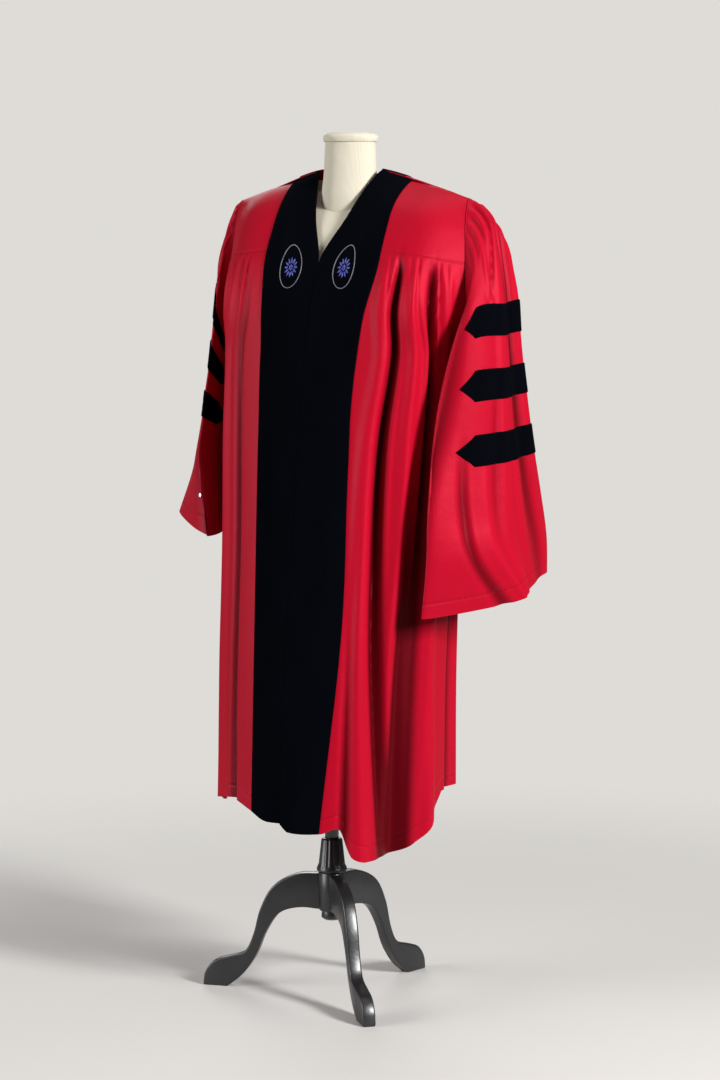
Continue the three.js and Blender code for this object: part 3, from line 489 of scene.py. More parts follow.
backCreases = tabled(
    creaseColumns,
    [
        (-0.82, 300, -0.78, 900, 9, 11, -3.0),
        (-0.62, 260, -0.6, 760, -7, 10, 2.6),
        (-0.42, 420, -0.36, 1120, 8, 12, -2.8),
        (-0.2, 300, -0.17, 820, -6, 10, 2.4),
        (0.02, 380, 0.02, 1130, 7, 12, -2.6),
        (0.22, 260, 0.25, 720, -6, 10, 2.6),
        (0.42, 460, 0.43, 1150, 8, 12, -3.0),
        (0.62, 280, 0.64, 860, -8, 11, 2.6),
        (0.82, 420, 0.82, 1100, 7, 11, -2.6),
    ],
)


def pleatLift(at, drop, seam):
    sizes = frontCloth
    start = sizes["pleatFrom"]
    across = blendStep(start, start + sizes["pleatEase"], at) * (1 - blendStep(sizes["pleatTo"], 1, at))
    uneven = at + sizes["unevenBy"] * np.sin(at * sizes["unevenTurns"])
    wave = np.abs(np.cos(uneven * sizes["pleatCount"] * math.pi)) * 2 - sizes["pleatMiddle"]
    down = (drop - seam) / sizes["pleatFade"]
    along = blendStep(-0.01, 0.06, down) * (1 - blendStep(0.2, 1, down))
    return sizes["pleatDepth"] * wave * across * along


def frontSurface(side):
    folds = foldsFrontLeft if side > 0 else foldsFrontRight
    creases = frontLeftCreases if side > 0 else frontRightCreases
    edge = velvetEdgeLeft if side > 0 else velvetEdgeRight

    def plain(at, drop):
        return frontBase(side, at, drop)

    def surface(at, drop, flat=False):
        if flat:
            return plain(at, drop)
        seam = gownSizes["yokeSeamFront"]
        beyond = at - readColumn(edge, "at", "drop", drop)
        outside = blendStep(0, frontCloth["creaseEase"], beyond)
        outside = outside * (1 - blendStep(frontCloth["creaseTo"], 1, at))
        fine = creaseLift(creases, at, drop, gownSizes["panelArc"]) + pleatLift(at, drop, seam)
        lift = bodyFolds(folds, at, drop, seam) + fine * outside
        return liftedBy(plain, at, drop, side > 0, lift)

    return surface


backCloth = {"fluteCount": 14, "fluteDepth": 4.5, "fluteFade": 420, "fluteTo": 0.9}


def backSurface(at, drop, flat=False):
    if flat:
        return backBase(at, drop)
    sizes = backCloth
    seam = gownSizes["yokeSeamBack"]
    down = (drop - seam) / sizes["fluteFade"]
    edge = 1 - blendStep(sizes["fluteTo"], 1, np.abs(at))
    flute = sizes["fluteDepth"] * np.cos(at * sizes["fluteCount"] * math.pi)
    flute = flute * blendStep(-0.02, 0.12, down) * (1 - blendStep(0.25, 1, down))
    fine = creaseLift(backCreases, at, drop, gownSizes["panelArc"])
    lift = bodyFolds(foldsBack, at, drop, seam) + flute + fine
    return liftedBy(backBase, at, drop, False, lift * edge)


def armholePoint(side, share):
    drop = gownSizes["underarmDrop"] * np.abs(1 - 2 * share)
    front = frontBase(side, np.ones_like(share), drop)
    back = backBase(np.full_like(share, side), drop)
    point = np.where((share < 0.5)[..., None], front, back)
    point[..., 0] += side * gownSizes["armholeGap"]
    return point


sleeveCloth = {
    "headFlutes": 22,
    "headDepth": 3.4,
    "headFade": 130,
    "headSpread": 0.22,
    "foldMiddle": 0.5,
    "foldRise": (10, 120),
}
sleeveLeftCreases = tabled(
    creaseColumns,
    [
        (0.42, 30, 0.47, 300, 7, 9, 2.6),
        (0.5, 20, 0.53, 360, -6, 9, -2.4),
        (0.58, 30, 0.6, 420, 6, 9, 2.4),
        (0.66, 60, 0.67, 400, -6, 9, -2.4),
        (0.47, 330, 0.44, 700, 4, 16, -2.6),
        (0.55, 420, 0.53, 760, -3, 16, 2.2),
        (0.63, 430, 0.66, 765, 3, 16, -2.4),
        (0.335, 430, 0.372, 960, 4, 9, -6.0),
        (0.4, 440, 0.43, 940, 4, 14, 3.0),
        (0.486, 30, 0.425, 270, -4, 7, -3.2),
        (0.76, 300, 0.8, 700, 9, 12, -3.0),
        (0.9, 260, 0.92, 680, -7, 11, 2.6),
    ],
)
sleeveRightCreases = tabled(
    creaseColumns,
    [
        (0.3, 30, 0.31, 260, 5, 8, -1.8),
        (0.42, 30, 0.45, 300, 7, 9, 2.4),
        (0.52, 20, 0.54, 360, -6, 9, -2.4),
        (0.62, 30, 0.64, 420, 6, 9, 2.4),
        (0.34, 330, 0.31, 600, 6, 9, -2.4),
        (0.27, 380, 0.25, 600, -5, 8, 1.8),
        (0.47, 300, 0.46, 560, 8, 11, -2.8),
        (0.58, 330, 0.57, 600, -7, 11, 2.6),
        (0.74, 260, 0.76, 560, 8, 11, -2.6),
        (0.9, 240, 0.92, 540, -6, 10, 2.4),
    ],
)


def closedStations(row, share):
    knots, picks = [], []
    for turn in (-1, 0, 1):
        for name, place in sleeveStations.items():
            knots.append(place + turn)
            picks.append(row[name])
    return smoothAt(knots, np.array(picks, float), share)


def sleeveSurface(side):
    rows = sleeveLeft if side > 0 else sleeveRight
    folds = sleeveFoldsLeft if side > 0 else sleeveFoldsRight
    creases = sleeveLeftCreases if side > 0 else sleeveRightCreases
    lastDrop = rows[-1]["drop"]
    sizes, arc = sleeveCloth, gownSizes["sleeveArc"]

    def plain(share, drop):
        turn = share - np.floor(share)
        first = armholePoint(side, turn)
        first[..., 0] *= side
        points = [first] + [closedStations(row, turn) for row in rows]
        point = smoothAt([0] + [row["drop"] for row in rows], np.stack(points), drop)
        point[..., 0] *= side
        return point

    def surface(share, drop, flat=False):
        if flat:
            return plain(share, drop)
        turn = share - np.floor(share)
        head = bump((turn - 0.5) / sizes["headSpread"]) * blendStep(2, 22, drop)
        head = head * (1 - blendStep(30, sizes["headFade"], drop))
        flute = sizes["headDepth"] * np.cos(turn * sizes["headFlutes"] * 2 * math.pi) * head
        folded = foldSum(folds, turn, drop / lastDrop, sizes["foldMiddle"], arc)
        folded = folded * blendStep(*sizes["foldRise"], drop)
        lift = flute + folded + creaseLift(creases, turn, drop, arc)
        return liftedBy(plain, share, drop, side > 0, lift, 0.01, 3)

    return surface


def spread(count, start, end, near=()):
    # even steps, with closer ones beside both ends for a rounded edge
    inner = np.linspace(start, end, count + 1)
    extra = [start + step for step in near] + [end - step for step in near]
    return np.array(sorted(set(np.round(np.concatenate([inner, extra]), 6))))


def meshPiece(name, verts, faces, uvs=None, crispAngle=40):
    mesh = bpy.data.meshes.new(name)
    mesh.from_pydata(((np.asarray(verts) + frameShift) * mm).tolist(), [], [list(map(int, f)) for f in faces])
    if uvs is not None:
        layer = mesh.uv_layers.new(name="cloth")
        layer.data.foreach_set("uv", np.asarray(uvs, float).ravel())
    mesh.update()
    mesh.shade_smooth()
    mesh.set_sharp_from_angle(angle=math.radians(crispAngle))
    piece = bpy.data.objects.new(name, mesh)
    bpy.context.collection.objects.link(piece)
    return piece


def quadVolume(verts, faces):
    a, b, c, d = (verts[faces[:, k]] for k in range(4))
    return np.einsum("ij,ij->i", a, np.cross(b, c)).sum() + np.einsum("ij,ij->i", a, np.cross(c, d)).sum()


def foldDepth(surface, at, drop, points, normals):
    # how far the cloth stands out of its plain form, less than nought in a valley
    return ((points - surface(at, drop, True)) * normals).sum(-1)


def clothPiece(name, points, normals, outerLay, innerLay, closed, u, v, folds=None):
    # closes a grid of cloth points into a wall, with the cut's own sizes in metres as its UV map
    rows, columns = points.shape[:2]
    outerLay = np.broadcast_to(outerLay, (rows, columns))[..., None]
    outer = (points + normals * outerLay).reshape(-1, 3)
    inner = (points + normals * innerLay).reshape(-1, 3)
    verts = np.concatenate([outer, inner])
    below = rows * columns
    spans = columns if closed else columns - 1
    place = np.stack([u, v], -1) * mm

    def quads(corners, shift):
        faces = np.stack([r * columns + (c % columns) + shift[k] for k, (r, c) in enumerate(corners)], -1)
        uvs = np.stack([place[r, c] for r, c in corners], -2)
        return faces.reshape(-1, 4), uvs.reshape(-1, 4, 2)

    r, c = np.meshgrid(np.arange(rows - 1), np.arange(spans), indexing="ij")
    parts = [quads([(r, c), (r + 1, c), (r + 1, c + 1), (r, c + 1)], [0, 0, 0, 0])]
    parts.append(quads([(r, c), (r, c + 1), (r + 1, c + 1), (r + 1, c)], [below] * 4))
    c = np.arange(spans)
    top, end = np.zeros_like(c), np.full_like(c, rows - 1)
    parts.append(quads([(top, c), (top, c + 1), (top, c + 1), (top, c)], [0, 0, below, below]))
    parts.append(quads([(end, c + 1), (end, c), (end, c), (end, c + 1)], [0, 0, below, below]))
    if not closed:
        r = np.arange(rows - 1)
        left, right = np.zeros_like(r), np.full_like(r, columns - 1)
        parts.append(quads([(r + 1, left), (r, left), (r, left), (r + 1, left)], [0, 0, below, below]))
        parts.append(quads([(r, right), (r + 1, right), (r + 1, right), (r, right)], [0, 0, below, below]))
    faces = np.concatenate([part[0] for part in parts])
    uvs = np.concatenate([part[1] for part in parts])
    if quadVolume(verts, faces) < 0:
        faces, uvs = faces[:, ::-1], uvs[:, ::-1]
    piece = meshPiece(name, verts, faces, uvs)
    # the fold depth is kept on the points for the satin's painted shade in the valleys
    if folds is not None:
        layer = piece.data.attributes.new("fold", "FLOAT", "POINT")
        layer.data.foreach_set("value", np.tile(folds.ravel(), 2))
    return piece


def clothGrid(surface, at, drop, flip, closed=False):
    # the cloth's points, and the way that it faces at each of them
    points = surface(at, drop)
    if closed:
        alongAt = np.roll(points, -1, 1) - np.roll(points, 1, 1)
    else:
        alongAt = np.gradient(points, axis=1)
    normals = np.cross(alongAt, np.gradient(points, axis=0))
    normals /= np.maximum(np.linalg.norm(normals, axis=-1, keepdims=True), 1e-9)
    return points, -normals if flip else normals


def outerArea(points, closed=False):
    if closed:
        points = np.concatenate([points, points[:, :1]], axis=1)
    a, b = points[1:, 1:] - points[:-1, :-1], points[1:, :-1] - points[:-1, 1:]
    return float(np.linalg.norm(np.cross(a, b), axis=-1).sum() / 2) * mm * mm


def reach(points, axis):
    # the longest run of the cloth along its columns or rows, in metres
    return float(np.linalg.norm(np.diff(points, axis=axis), axis=-1).sum(axis=axis).max()) * mm


def edgeRound(values, start, end, radius):
    # nought at both ends and one inside, over a rounded edge
    near = np.minimum(np.abs(values - start), np.abs(end - values)) / radius
    near = np.clip(near, 0, 1)
    return np.sqrt(1 - (1 - near) ** 2)


# Shader groups that more than one cloth or wood uses
def newGroup(name, inputs, outputs):
    group = bpy.data.node_groups.new(name, "ShaderNodeTree")
    for label, kind, value in inputs:
        socket = group.interface.new_socket(name=label, in_out="INPUT", socket_type=kind)
        if value is not None:
            socket.default_value = value
    for label, kind in outputs:
        group.interface.new_socket(name=label, in_out="OUTPUT", socket_type=kind)
    return group, group.nodes.new("NodeGroupInput"), group.nodes.new("NodeGroupOutput")


def mathNode(tree, operation, first, second=None, third=None):
    node = tree.nodes.new("ShaderNodeMath")
    node.operation = operation
    for socket, value in zip(node.inputs, (first, second, third)):
        if value is None:
            continue
        if isinstance(value, (int, float)):
            socket.default_value = value
        else:
            tree.links.new(value, socket)
    return node.outputs[0]


def mixColour(tree, share, first, second):
    node = tree.nodes.new("ShaderNodeMix")
    node.data_type = "RGBA"
    for socket, value in ((node.inputs[0], share), (node.inputs[6], first), (node.inputs[7], second)):
        if isinstance(value, (int, float, tuple)):
            socket.default_value = value
        else:
            tree.links.new(value, socket)
    return node.outputs[2]


def makeWeave():
    # fine threads both ways, the cross threads lower, as on a satin or a plain cover
    inputs = [
        ("Place", "NodeSocketVector", None),
        ("Threads", "NodeSocketFloat", 900.0),
        ("Cross", "NodeSocketFloat", 0.5),
    ]
    group, given, out = newGroup("clothWeave", inputs, [("Height", "NodeSocketFloat")])
    split = group.nodes.new("ShaderNodeSeparateXYZ")
    group.links.new(given.outputs["Place"], split.inputs[0])
    waves = []
    for axis in (0, 1):
        turns = mathNode(group, "MULTIPLY", split.outputs[axis], given.outputs["Threads"])
        waves.append(mathNode(group, "SINE", mathNode(group, "MULTIPLY", turns, 2 * math.pi)))
    cross = mathNode(group, "MULTIPLY", waves[1], given.outputs["Cross"])
    group.links.new(mathNode(group, "ADD", waves[0], cross), out.inputs["Height"])
    return group


def makeDrift():
    # slow changes of tone over the cloth, stretched along its length
    inputs = [
        ("Place", "NodeSocketVector", None),
        ("Light", "NodeSocketColor", (1, 1, 1, 1)),
        ("Deep", "NodeSocketColor", (0, 0, 0, 1)),
        ("Scale", "NodeSocketFloat", 6.0),
        ("Share", "NodeSocketFloat", 0.5),
    ]
    outputs = [("Colour", "NodeSocketColor"), ("Mask", "NodeSocketFloat")]
    group, given, out = newGroup("toneDrift", inputs, outputs)
    stretch = group.nodes.new("ShaderNodeMapping")
    stretch.inputs["Scale"].default_value = (1, 0.35, 0.35)
    group.links.new(given.outputs["Place"], stretch.inputs["Vector"])
    noise = group.nodes.new("ShaderNodeTexNoise")
    noise.inputs["Detail"].default_value = 5
    group.links.new(stretch.outputs[0], noise.inputs["Vector"])
    group.links.new(given.outputs["Scale"], noise.inputs["Scale"])
    mask = mathNode(group, "MULTIPLY", noise.outputs[0], given.outputs["Share"])
    colour = mixColour(group, mask, given.outputs["Light"], given.outputs["Deep"])
    group.links.new(colour, out.inputs["Colour"])
    group.links.new(noise.outputs[0], out.inputs["Mask"])
    return group


def makeStitchRow():
    # one row of stitches at a set distance down the cloth
    inputs = [
        ("Place", "NodeSocketVector", None),
        ("Line", "NodeSocketFloat", 0.0),
        ("Pitch", "NodeSocketFloat", 0.004),
        ("Width", "NodeSocketFloat", 0.0012),
    ]
    outputs = [("Mask", "NodeSocketFloat"), ("Pucker", "NodeSocketFloat")]
    group, given, out = newGroup("stitchRow", inputs, outputs)
    split = group.nodes.new("ShaderNodeSeparateXYZ")
    group.links.new(given.outputs["Place"], split.inputs[0])
    away = mathNode(group, "ABSOLUTE", mathNode(group, "SUBTRACT", split.outputs[1], given.outputs["Line"]))
    near = mathNode(group, "LESS_THAN", away, mathNode(group, "MULTIPLY", given.outputs["Width"], 0.5))
    turn = mathNode(group, "FRACT", mathNode(group, "DIVIDE", split.outputs[0], given.outputs["Pitch"]))
    thread = mathNode(group, "MULTIPLY", near, mathNode(group, "LESS_THAN", turn, 0.7))
    wide = mathNode(group, "DIVIDE", away, mathNode(group, "MULTIPLY", given.outputs["Width"], 4))
    depth = mathNode(group, "SUBTRACT", 1, mathNode(group, "MINIMUM", wide, 1))
    pucker = mathNode(group, "MULTIPLY", depth, -1)
    group.links.new(thread, out.inputs["Mask"])
    group.links.new(pucker, out.inputs["Pucker"])
    return group


weaveGroup = makeWeave()
driftGroup = makeDrift()
stitchGroup = makeStitchRow()


def newMaterial(name, sockets):
    material = bpy.data.materials.new(name)
    material.use_nodes = True
    shader = material.node_tree.nodes["Principled BSDF"]
    for label, value in sockets.items():
        shader.inputs[label].default_value = value
    return material, material.node_tree, shader


def groupNode(tree, group, **values):
    node = tree.nodes.new("ShaderNodeGroup")
    node.node_tree = group
    for label, value in values.items():
        if isinstance(value, bpy.types.NodeSocket):
            tree.links.new(value, node.inputs[label])
        else:
            node.inputs[label].default_value = value
    return node


def bumpInto(tree, shader, layers):
    # several heights over each other, each with its own depth in metres
    normal = None
    for height, depth in layers:
        node = tree.nodes.new("ShaderNodeBump")
        node.inputs["Distance"].default_value = depth
        tree.links.new(height, node.inputs["Height"])
        if normal is not None:
            tree.links.new(normal, node.inputs["Normal"])
        normal = node.outputs[0]
    tree.links.new(normal, shader.inputs["Normal"])


def placeOf(tree, kind):
    return tree.nodes.new("ShaderNodeTexCoord").outputs[kind]


def noiseOf(tree, place, scale, detail=2):
    noise = tree.nodes.new("ShaderNodeTexNoise")
    noise.inputs["Scale"].default_value = scale
    noise.inputs["Detail"].default_value = detail
    tree.links.new(place, noise.inputs["Vector"])
    return noise.outputs[0]


def smoothRange(tree, value, ends, results):
    node = tree.nodes.new("ShaderNodeMapRange")
    node.interpolation_type = "SMOOTHSTEP"
    labels = ("From Min", "From Max", "To Min", "To Max")
    for label, number in zip(labels, (*ends, *results)):
        node.inputs[label].default_value = number
    tree.links.new(value, node.inputs["Value"])
    return node.outputs[0]


def tonedMaterial(name, look, kind="Object"):
    # a material whose colour drifts slowly from one tone to another
    material, tree, shader = newMaterial(name, look["shader"])
    place = placeOf(tree, kind)
    drift = groupNode(tree, driftGroup, Place=place, Light=look["light"], Deep=look["deep"])
    drift.inputs["Scale"].default_value = look["scale"]
    drift.inputs["Share"].default_value = look["share"]
    tree.links.new(drift.outputs["Colour"], shader.inputs["Base Color"])
    return material, tree, shader, place, drift.outputs


def roughenBy(tree, shader, mask, change, least):
    rough = mathNode(tree, "MULTIPLY_ADD", mask, change, least)
    tree.links.new(rough, shader.inputs["Roughness"])


satinLook = {
    "light": (0.45, 0.0032, 0.020, 1),
    "deep": (0.32, 0.0012, 0.010, 1),
    "scale": 7.0,
    "share": 0.9,
    # painted shade: a near-black red that the colour darkens to in the fold valleys, between the fold depth
    # where it starts and the depth where it is full
    "valley": (0.050, 0.0001, 0.0010, 1),
    "valleyFrom": 2.0,
    "valleyTo": -8.5,
    "valleyShare": 0.92,
    "thread": (0.22, 0.001, 0.006, 1),
    "stitch": {"Pitch": 0.0035, "Width": 0.0011},
    "puckerDepth": 0.0006,
    "threads": 620.0,
    "crossThreads": 0.35,
    "weaveDepth": 0.00004,
    "rippleScale": 26,
    "rippleDetail": 3,
    "rippleDepth": 0.0008,
    "roughness": (0.12, 0.39),
    "shader": {
        "Sheen Weight": 0.10,
        "Sheen Roughness": 0.35,
        "Sheen Tint": (1.0, 0.16, 0.22, 1),
        "Specular IOR Level": 0.42,
        "Specular Tint": (1.0, 0.10, 0.17, 1),
    },
}


def makeSatin(name, stitchLines):
    # rows of stitches, weave, ripples, and painted shade: the colour is darkened where the cloth lies in a
    # valley
    look = satinLook
    material, tree, shader, place, drift = tonedMaterial(name, look, "UV")
    colour = drift["Colour"]
    weave = groupNode(tree, weaveGroup, Place=place, Threads=look["threads"], Cross=look["crossThreads"])
    layers = [(weave.outputs["Height"], look["weaveDepth"])]
    for line in stitchLines:
        row = groupNode(tree, stitchGroup, Place=place, Line=line * mm, **look["stitch"])
        colour = mixColour(tree, row.outputs["Mask"], colour, look["thread"])
        layers.append((row.outputs["Pucker"], look["puckerDepth"]))
    ripple = noiseOf(tree, place, look["rippleScale"], look["rippleDetail"])
    layers.append((ripple, look["rippleDepth"]))
    # painted shade: the deeper the fold valley, the closer the base colour goes to a near-black red, standing
    # in for shadow in the folds
    fold = tree.nodes.new("ShaderNodeAttribute")
    fold.attribute_name = "fold"
    ends = (look["valleyTo"], look["valleyFrom"])
    shade = smoothRange(tree, fold.outputs["Fac"], ends, (look["valleyShare"], 0))
    colour = mixColour(tree, shade, colour, look["valley"])
    tree.links.new(colour, shader.inputs["Base Color"])
    roughenBy(tree, shader, drift["Mask"], *look["roughness"])
    bumpInto(tree, shader, layers)
    return material


velvetLook = {
    "light": (0.0004, 0.0006, 0.0012, 1),
    "deep": (0.0014, 0.0018, 0.0036, 1),
    "scale": 14.0,
    "share": 1.2,
    "pileScale": 1500,
    "pileDepth": 0.0006,
    "crushDepth": 0.002,
    "shader": {
        "Sheen Weight": 0.016,
        "Sheen Roughness": 0.3,
        "Sheen Tint": (0.35, 0.42, 0.62, 1),
        "Specular IOR Level": 0.02,
        "Roughness": 0.95,
    },
}


def makeVelvet():
    look = velvetLook
    material, tree, shader, place, drift = tonedMaterial("velvet", look, "UV")
    pile = noiseOf(tree, place, look["pileScale"])
    bumpInto(tree, shader, [(pile, look["pileDepth"]), (drift["Mask"], look["crushDepth"])])
    return material


linenLook = {
    "light": (0.66, 0.61, 0.49, 1),
    "deep": (0.54, 0.485, 0.37, 1),
    "scale": 30.0,
    "share": 0.5,
    "threads": 520.0,
    "crossThreads": 0.9,
    "weaveDepth": 0.0002,
    "shader": {"Roughness": 0.85, "Sheen Weight": 0.15},
}


def makeLinen():
    # its threads run level and upright
    look = linenLook
    material, tree, shader, place, _ = tonedMaterial("linenCover", look)
    split = tree.nodes.new("ShaderNodeSeparateXYZ")
    join = tree.nodes.new("ShaderNodeCombineXYZ")
    tree.links.new(place, split.inputs[0])
    tree.links.new(split.outputs[0], join.inputs[0])
    tree.links.new(split.outputs[2], join.inputs[1])
    weave = groupNode(tree, weaveGroup, Place=join.outputs[0], Threads=look["threads"])
    weave.inputs["Cross"].default_value = look["crossThreads"]
    bumpInto(tree, shader, [(weave.outputs["Height"], look["weaveDepth"])])
    return material


lacquerLook = {
    "light": (0.016, 0.016, 0.018, 1),
    "deep": (0.006, 0.006, 0.007, 1),
    "scale": 22.0,
    "share": 1.0,
    "roughness": (0.2, 0.28),
    "grainScale": 160,
    "grainDepth": 0.0003,
    "shader": {"Coat Weight": 0.25, "Coat Roughness": 0.22, "Specular IOR Level": 0.5},
}


def makeLacquer():
    look = lacquerLook
    material, tree, shader, place, drift = tonedMaterial("blackLacquer", look)
    roughenBy(tree, shader, drift["Mask"], *look["roughness"])
    bumpInto(tree, shader, [(noiseOf(tree, place, look["grainScale"]), look["grainDepth"])])
    return material


threadLook = {
    "scale": 900.0,
    "share": 1.0,
    "strandDepth": 0.0006,
    "shader": {"Roughness": 0.45, "Sheen Weight": 0.3, "Specular IOR Level": 0.5},
}
threadTones = {
    "blueThread": {"light": (0.030, 0.045, 0.34, 1), "deep": (0.014, 0.020, 0.18, 1)},
    "greyThread": {"light": (0.13, 0.14, 0.17, 1), "deep": (0.06, 0.06, 0.08, 1)},
}


def makeThread(name):
    look = {**threadLook, **threadTones[name]}
    material, tree, shader, _, drift = tonedMaterial(name, look)
    bumpInto(tree, shader, [(drift["Mask"], look["strandDepth"])])
    return material


metalLook = {
    "light": (0.80, 0.81, 0.83, 1),
    "deep": (0.55, 0.56, 0.58, 1),
    "scale": 500.0,
    "share": 0.5,
    "roughness": (0.25, 0.12),
    "shader": {"Metallic": 1.0},
}


def makeSnapMetal():
    material, tree, shader, _, drift = tonedMaterial("snapMetal", metalLook)
    roughenBy(tree, shader, drift["Mask"], *metalLook["roughness"])
    return material


# How far each row of stitches lies from its edge
stitchRows = {"hem": 24, "yoke": 3, "sleeveHead": 4}


def sleeveLines(rows):
    return [stitchRows["sleeveHead"], rows[-1]["drop"] - stitchRows["hem"]]


panelSatin = makeSatin("satinPanel", [gownSizes["hemDrop"] - stitchRows["hem"]])
yokeFrontSatin = makeSatin("satinYokeFront", [gownSizes["yokeSeamFront"] - stitchRows["yoke"]])
yokeBackSatin = makeSatin("satinYokeBack", [gownSizes["yokeSeamBack"] - stitchRows["yoke"]])
sleeveLeftSatin = makeSatin("satinSleeveLeft", sleeveLines(sleeveLeft))
sleeveRightSatin = makeSatin("satinSleeveRight", sleeveLines(sleeveRight))
velvet = makeVelvet()
linenCover = makeLinen()
blackLacquer = makeLacquer()
blueThread = makeThread("blueThread")
greyThread = makeThread("greyThread")
snapMetal = makeSnapMetal()
print("materials made")


def finishPiece(piece, material, nodes=()):
    piece.data.materials.clear()
    piece.data.materials.append(material)
    if nodes:
        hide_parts(*nodes)
    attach(piece, "root")
    return piece


# The points of each cloth piece, from which its flat size is read
cutPoints = {}
sides = {"Left": 1, "Right": -1}


def satinPiece(name, surface, at, drop, flip):
    # a piece of the gown's cloth between two rows and two edges
    points, normals = clothGrid(surface, at, drop, flip)
    cutPoints[name] = points
    folds = foldDepth(surface, at, drop, points, normals)
    u = at * gownSizes["panelArc"]
    return clothPiece(name, points, normals, 0, -gownSizes["clothWall"], False, u, drop, folds)


def velvetPiece(name, surface, at, drop, flip, u, lay, soft):
    # velvet laid over the cloth, thin at its rounded edge
    points, normals = clothGrid(surface, at, drop, flip)
    cutPoints[name] = points
    lip = gownSizes["velvetLip"]
    top = lay + lip + (gownSizes["velvetWall"] - lip) * soft
    return clothPiece(name, points, normals, top, lay, False, u, drop)


# Front panels, front yokes and velvet facings, in the cloth's own shares and drops
panelGrid = {
    "frontColumns": 96,
    "velvetColumns": 20,
    "rowStep": 8.5,
    "velvetRowStep": 8,
    "edgeSteps": (1.2, 3.0),
    "velvetSteps": (0.002, 0.005),
    "softEdge": 2.6,
    "underVelvet": 7,
    "sideGap": 0.06,
    "closureEdge": 0.02,
}


def frontPlace(side, share, drop):
    edge = readColumn(velvetEdgeLeft if side > 0 else velvetEdgeRight, "at", "drop", drop)
    split = panelGrid["velvetColumns"] / panelGrid["frontColumns"]
    under = share / split * edge
    outside = edge + (share - split) / (1 - split) * (1 - edge)
    return np.where(share <= split, under, outside)


def gridOf(shares, drops):
    return np.meshgrid(np.asarray(shares, float), np.asarray(drops, float))


def rowDrops(top, bottom, step):
    return spread(round((bottom - top) / step), top, bottom, panelGrid["edgeSteps"])


def makeSatinFronts(side, word, surface):
    sizes, grid = gownSizes, panelGrid
    seam, gap = sizes["yokeSeamFront"], sizes["seamGap"] / 2
    shares = np.linspace(0, 1, grid["frontColumns"] + 1)
    shares[0] += grid["underVelvet"] / sizes["panelArc"]
    shares[-1] -= grid["sideGap"] / sizes["panelArc"]
    for label, node, satin, top, bottom in (
        ("front", "front_", panelSatin, seam + gap, sizes["hemDrop"]),
        ("yokeFront", "yoke_front_", yokeFrontSatin, sizes["ridgeGap"], seam - gap),
    ):
        share, drop = gridOf(shares, rowDrops(top, bottom, grid["rowStep"]))
        piece = satinPiece(label + word, surface, frontPlace(side, share, drop), drop, side > 0)
        finishPiece(piece, satin, [node + word.lower()])


def makeVelvetFront(side, word, surface):
    sizes, grid = gownSizes, panelGrid
    arc, soft = sizes["panelArc"], grid["softEdge"]
    columns = grid["velvetColumns"]
    split = columns / grid["frontColumns"]
    shares = spread(columns * 2, grid["closureEdge"] / arc, split, grid["velvetSteps"])
    drops = rowDrops(sizes["ridgeGap"], sizes["hemDrop"], grid["velvetRowStep"])
    share, drop = gridOf(shares, drops)
    at = frontPlace(side, share, drop)
    width = (at * arc).max(1, keepdims=True)
    acrossEdge = edgeRound(at * arc, -width, width, soft)
    rounded = np.minimum(acrossEdge, edgeRound(drop, drops[0], drops[-1], soft))
    name = "velvet" + word
    piece = velvetPiece(name, surface, at, drop, side > 0, at * arc, sizes["layGap"], rounded)
    finishPiece(piece, velvet, ["velvet_" + word.lower()])


for word, side in sides.items():
    makeSatinFronts(side, word, frontSurface(side))
    makeVelvetFront(side, word, frontSurface(side))
print("fronts made")


backGrid = {
    "panelColumns": 200,
    "yokeColumns": 120,
    "bandReach": 12 / 28,
    "bandColumns": 90,
    "bandRows": 8,
    "bandShare": 5,
    "bandAcross": (0.003, 0.008),
    "bandDown": (1.2, 2.4),
}


def makeBack():
    sizes = gownSizes
    seam, gap = sizes["yokeSeamBack"], sizes["seamGap"] / 2
    end = 1 - panelGrid["sideGap"] / sizes["panelArc"]
    for name, node, satin, top, bottom, columns in (
        ("backPanel", "back", panelSatin, seam + gap, sizes["hemDrop"], backGrid["panelColumns"]),
        ("yokeBack", "yoke_back", yokeBackSatin, sizes["ridgeGap"], seam - gap, backGrid["yokeColumns"]),
    ):
        drops = rowDrops(top, bottom, panelGrid["rowStep"])
        at, drop = gridOf(np.linspace(-end, end, columns + 1), drops)
        finishPiece(satinPiece(name, backSurface, at, drop, False), satin, [node])


def makeNeckband():
    sizes, grid = gownSizes, backGrid
    arc, end = sizes["panelArc"], grid["bandReach"]
    top, bottom = sizes["ridgeGap"], sizes["yokeSeamBack"] / grid["bandShare"]
    shares = spread(grid["bandColumns"], -end, end, grid["bandAcross"])
    at, drop = gridOf(shares, spread(grid["bandRows"], top, bottom, grid["bandDown"]))
    soft = edgeRound(drop, top, bottom, panelGrid["softEdge"])
    soft = np.minimum(soft, edgeRound(at * arc, -end * arc, end * arc, panelGrid["softEdge"]))
    lay = sizes["layGap"]
    piece = velvetPiece("neckbandVelvet", backSurface, at, drop, False, at * arc, lay, soft)
    finishPiece(piece, velvet, ["neckband"])


makeBack()
makeNeckband()
print("back made")


# Sleeves and their three velvet bars, with a point at each end of a bar
barSizes = {
    "rows": (3, 5, 7),
    "columns": 36,
    "Left": (13.2, 27),
    "Right": (5.6, 27),
    "point": 1.7,
    "lay": 0.5,
    "acrossSteps": 70,
    "downSteps": 14,
    "acrossNear": (0.003, 0.007),
    "downNear": (1.0, 2.2),
}
sleeveGrid = {"columns": 190, "rowStep": 7.5}


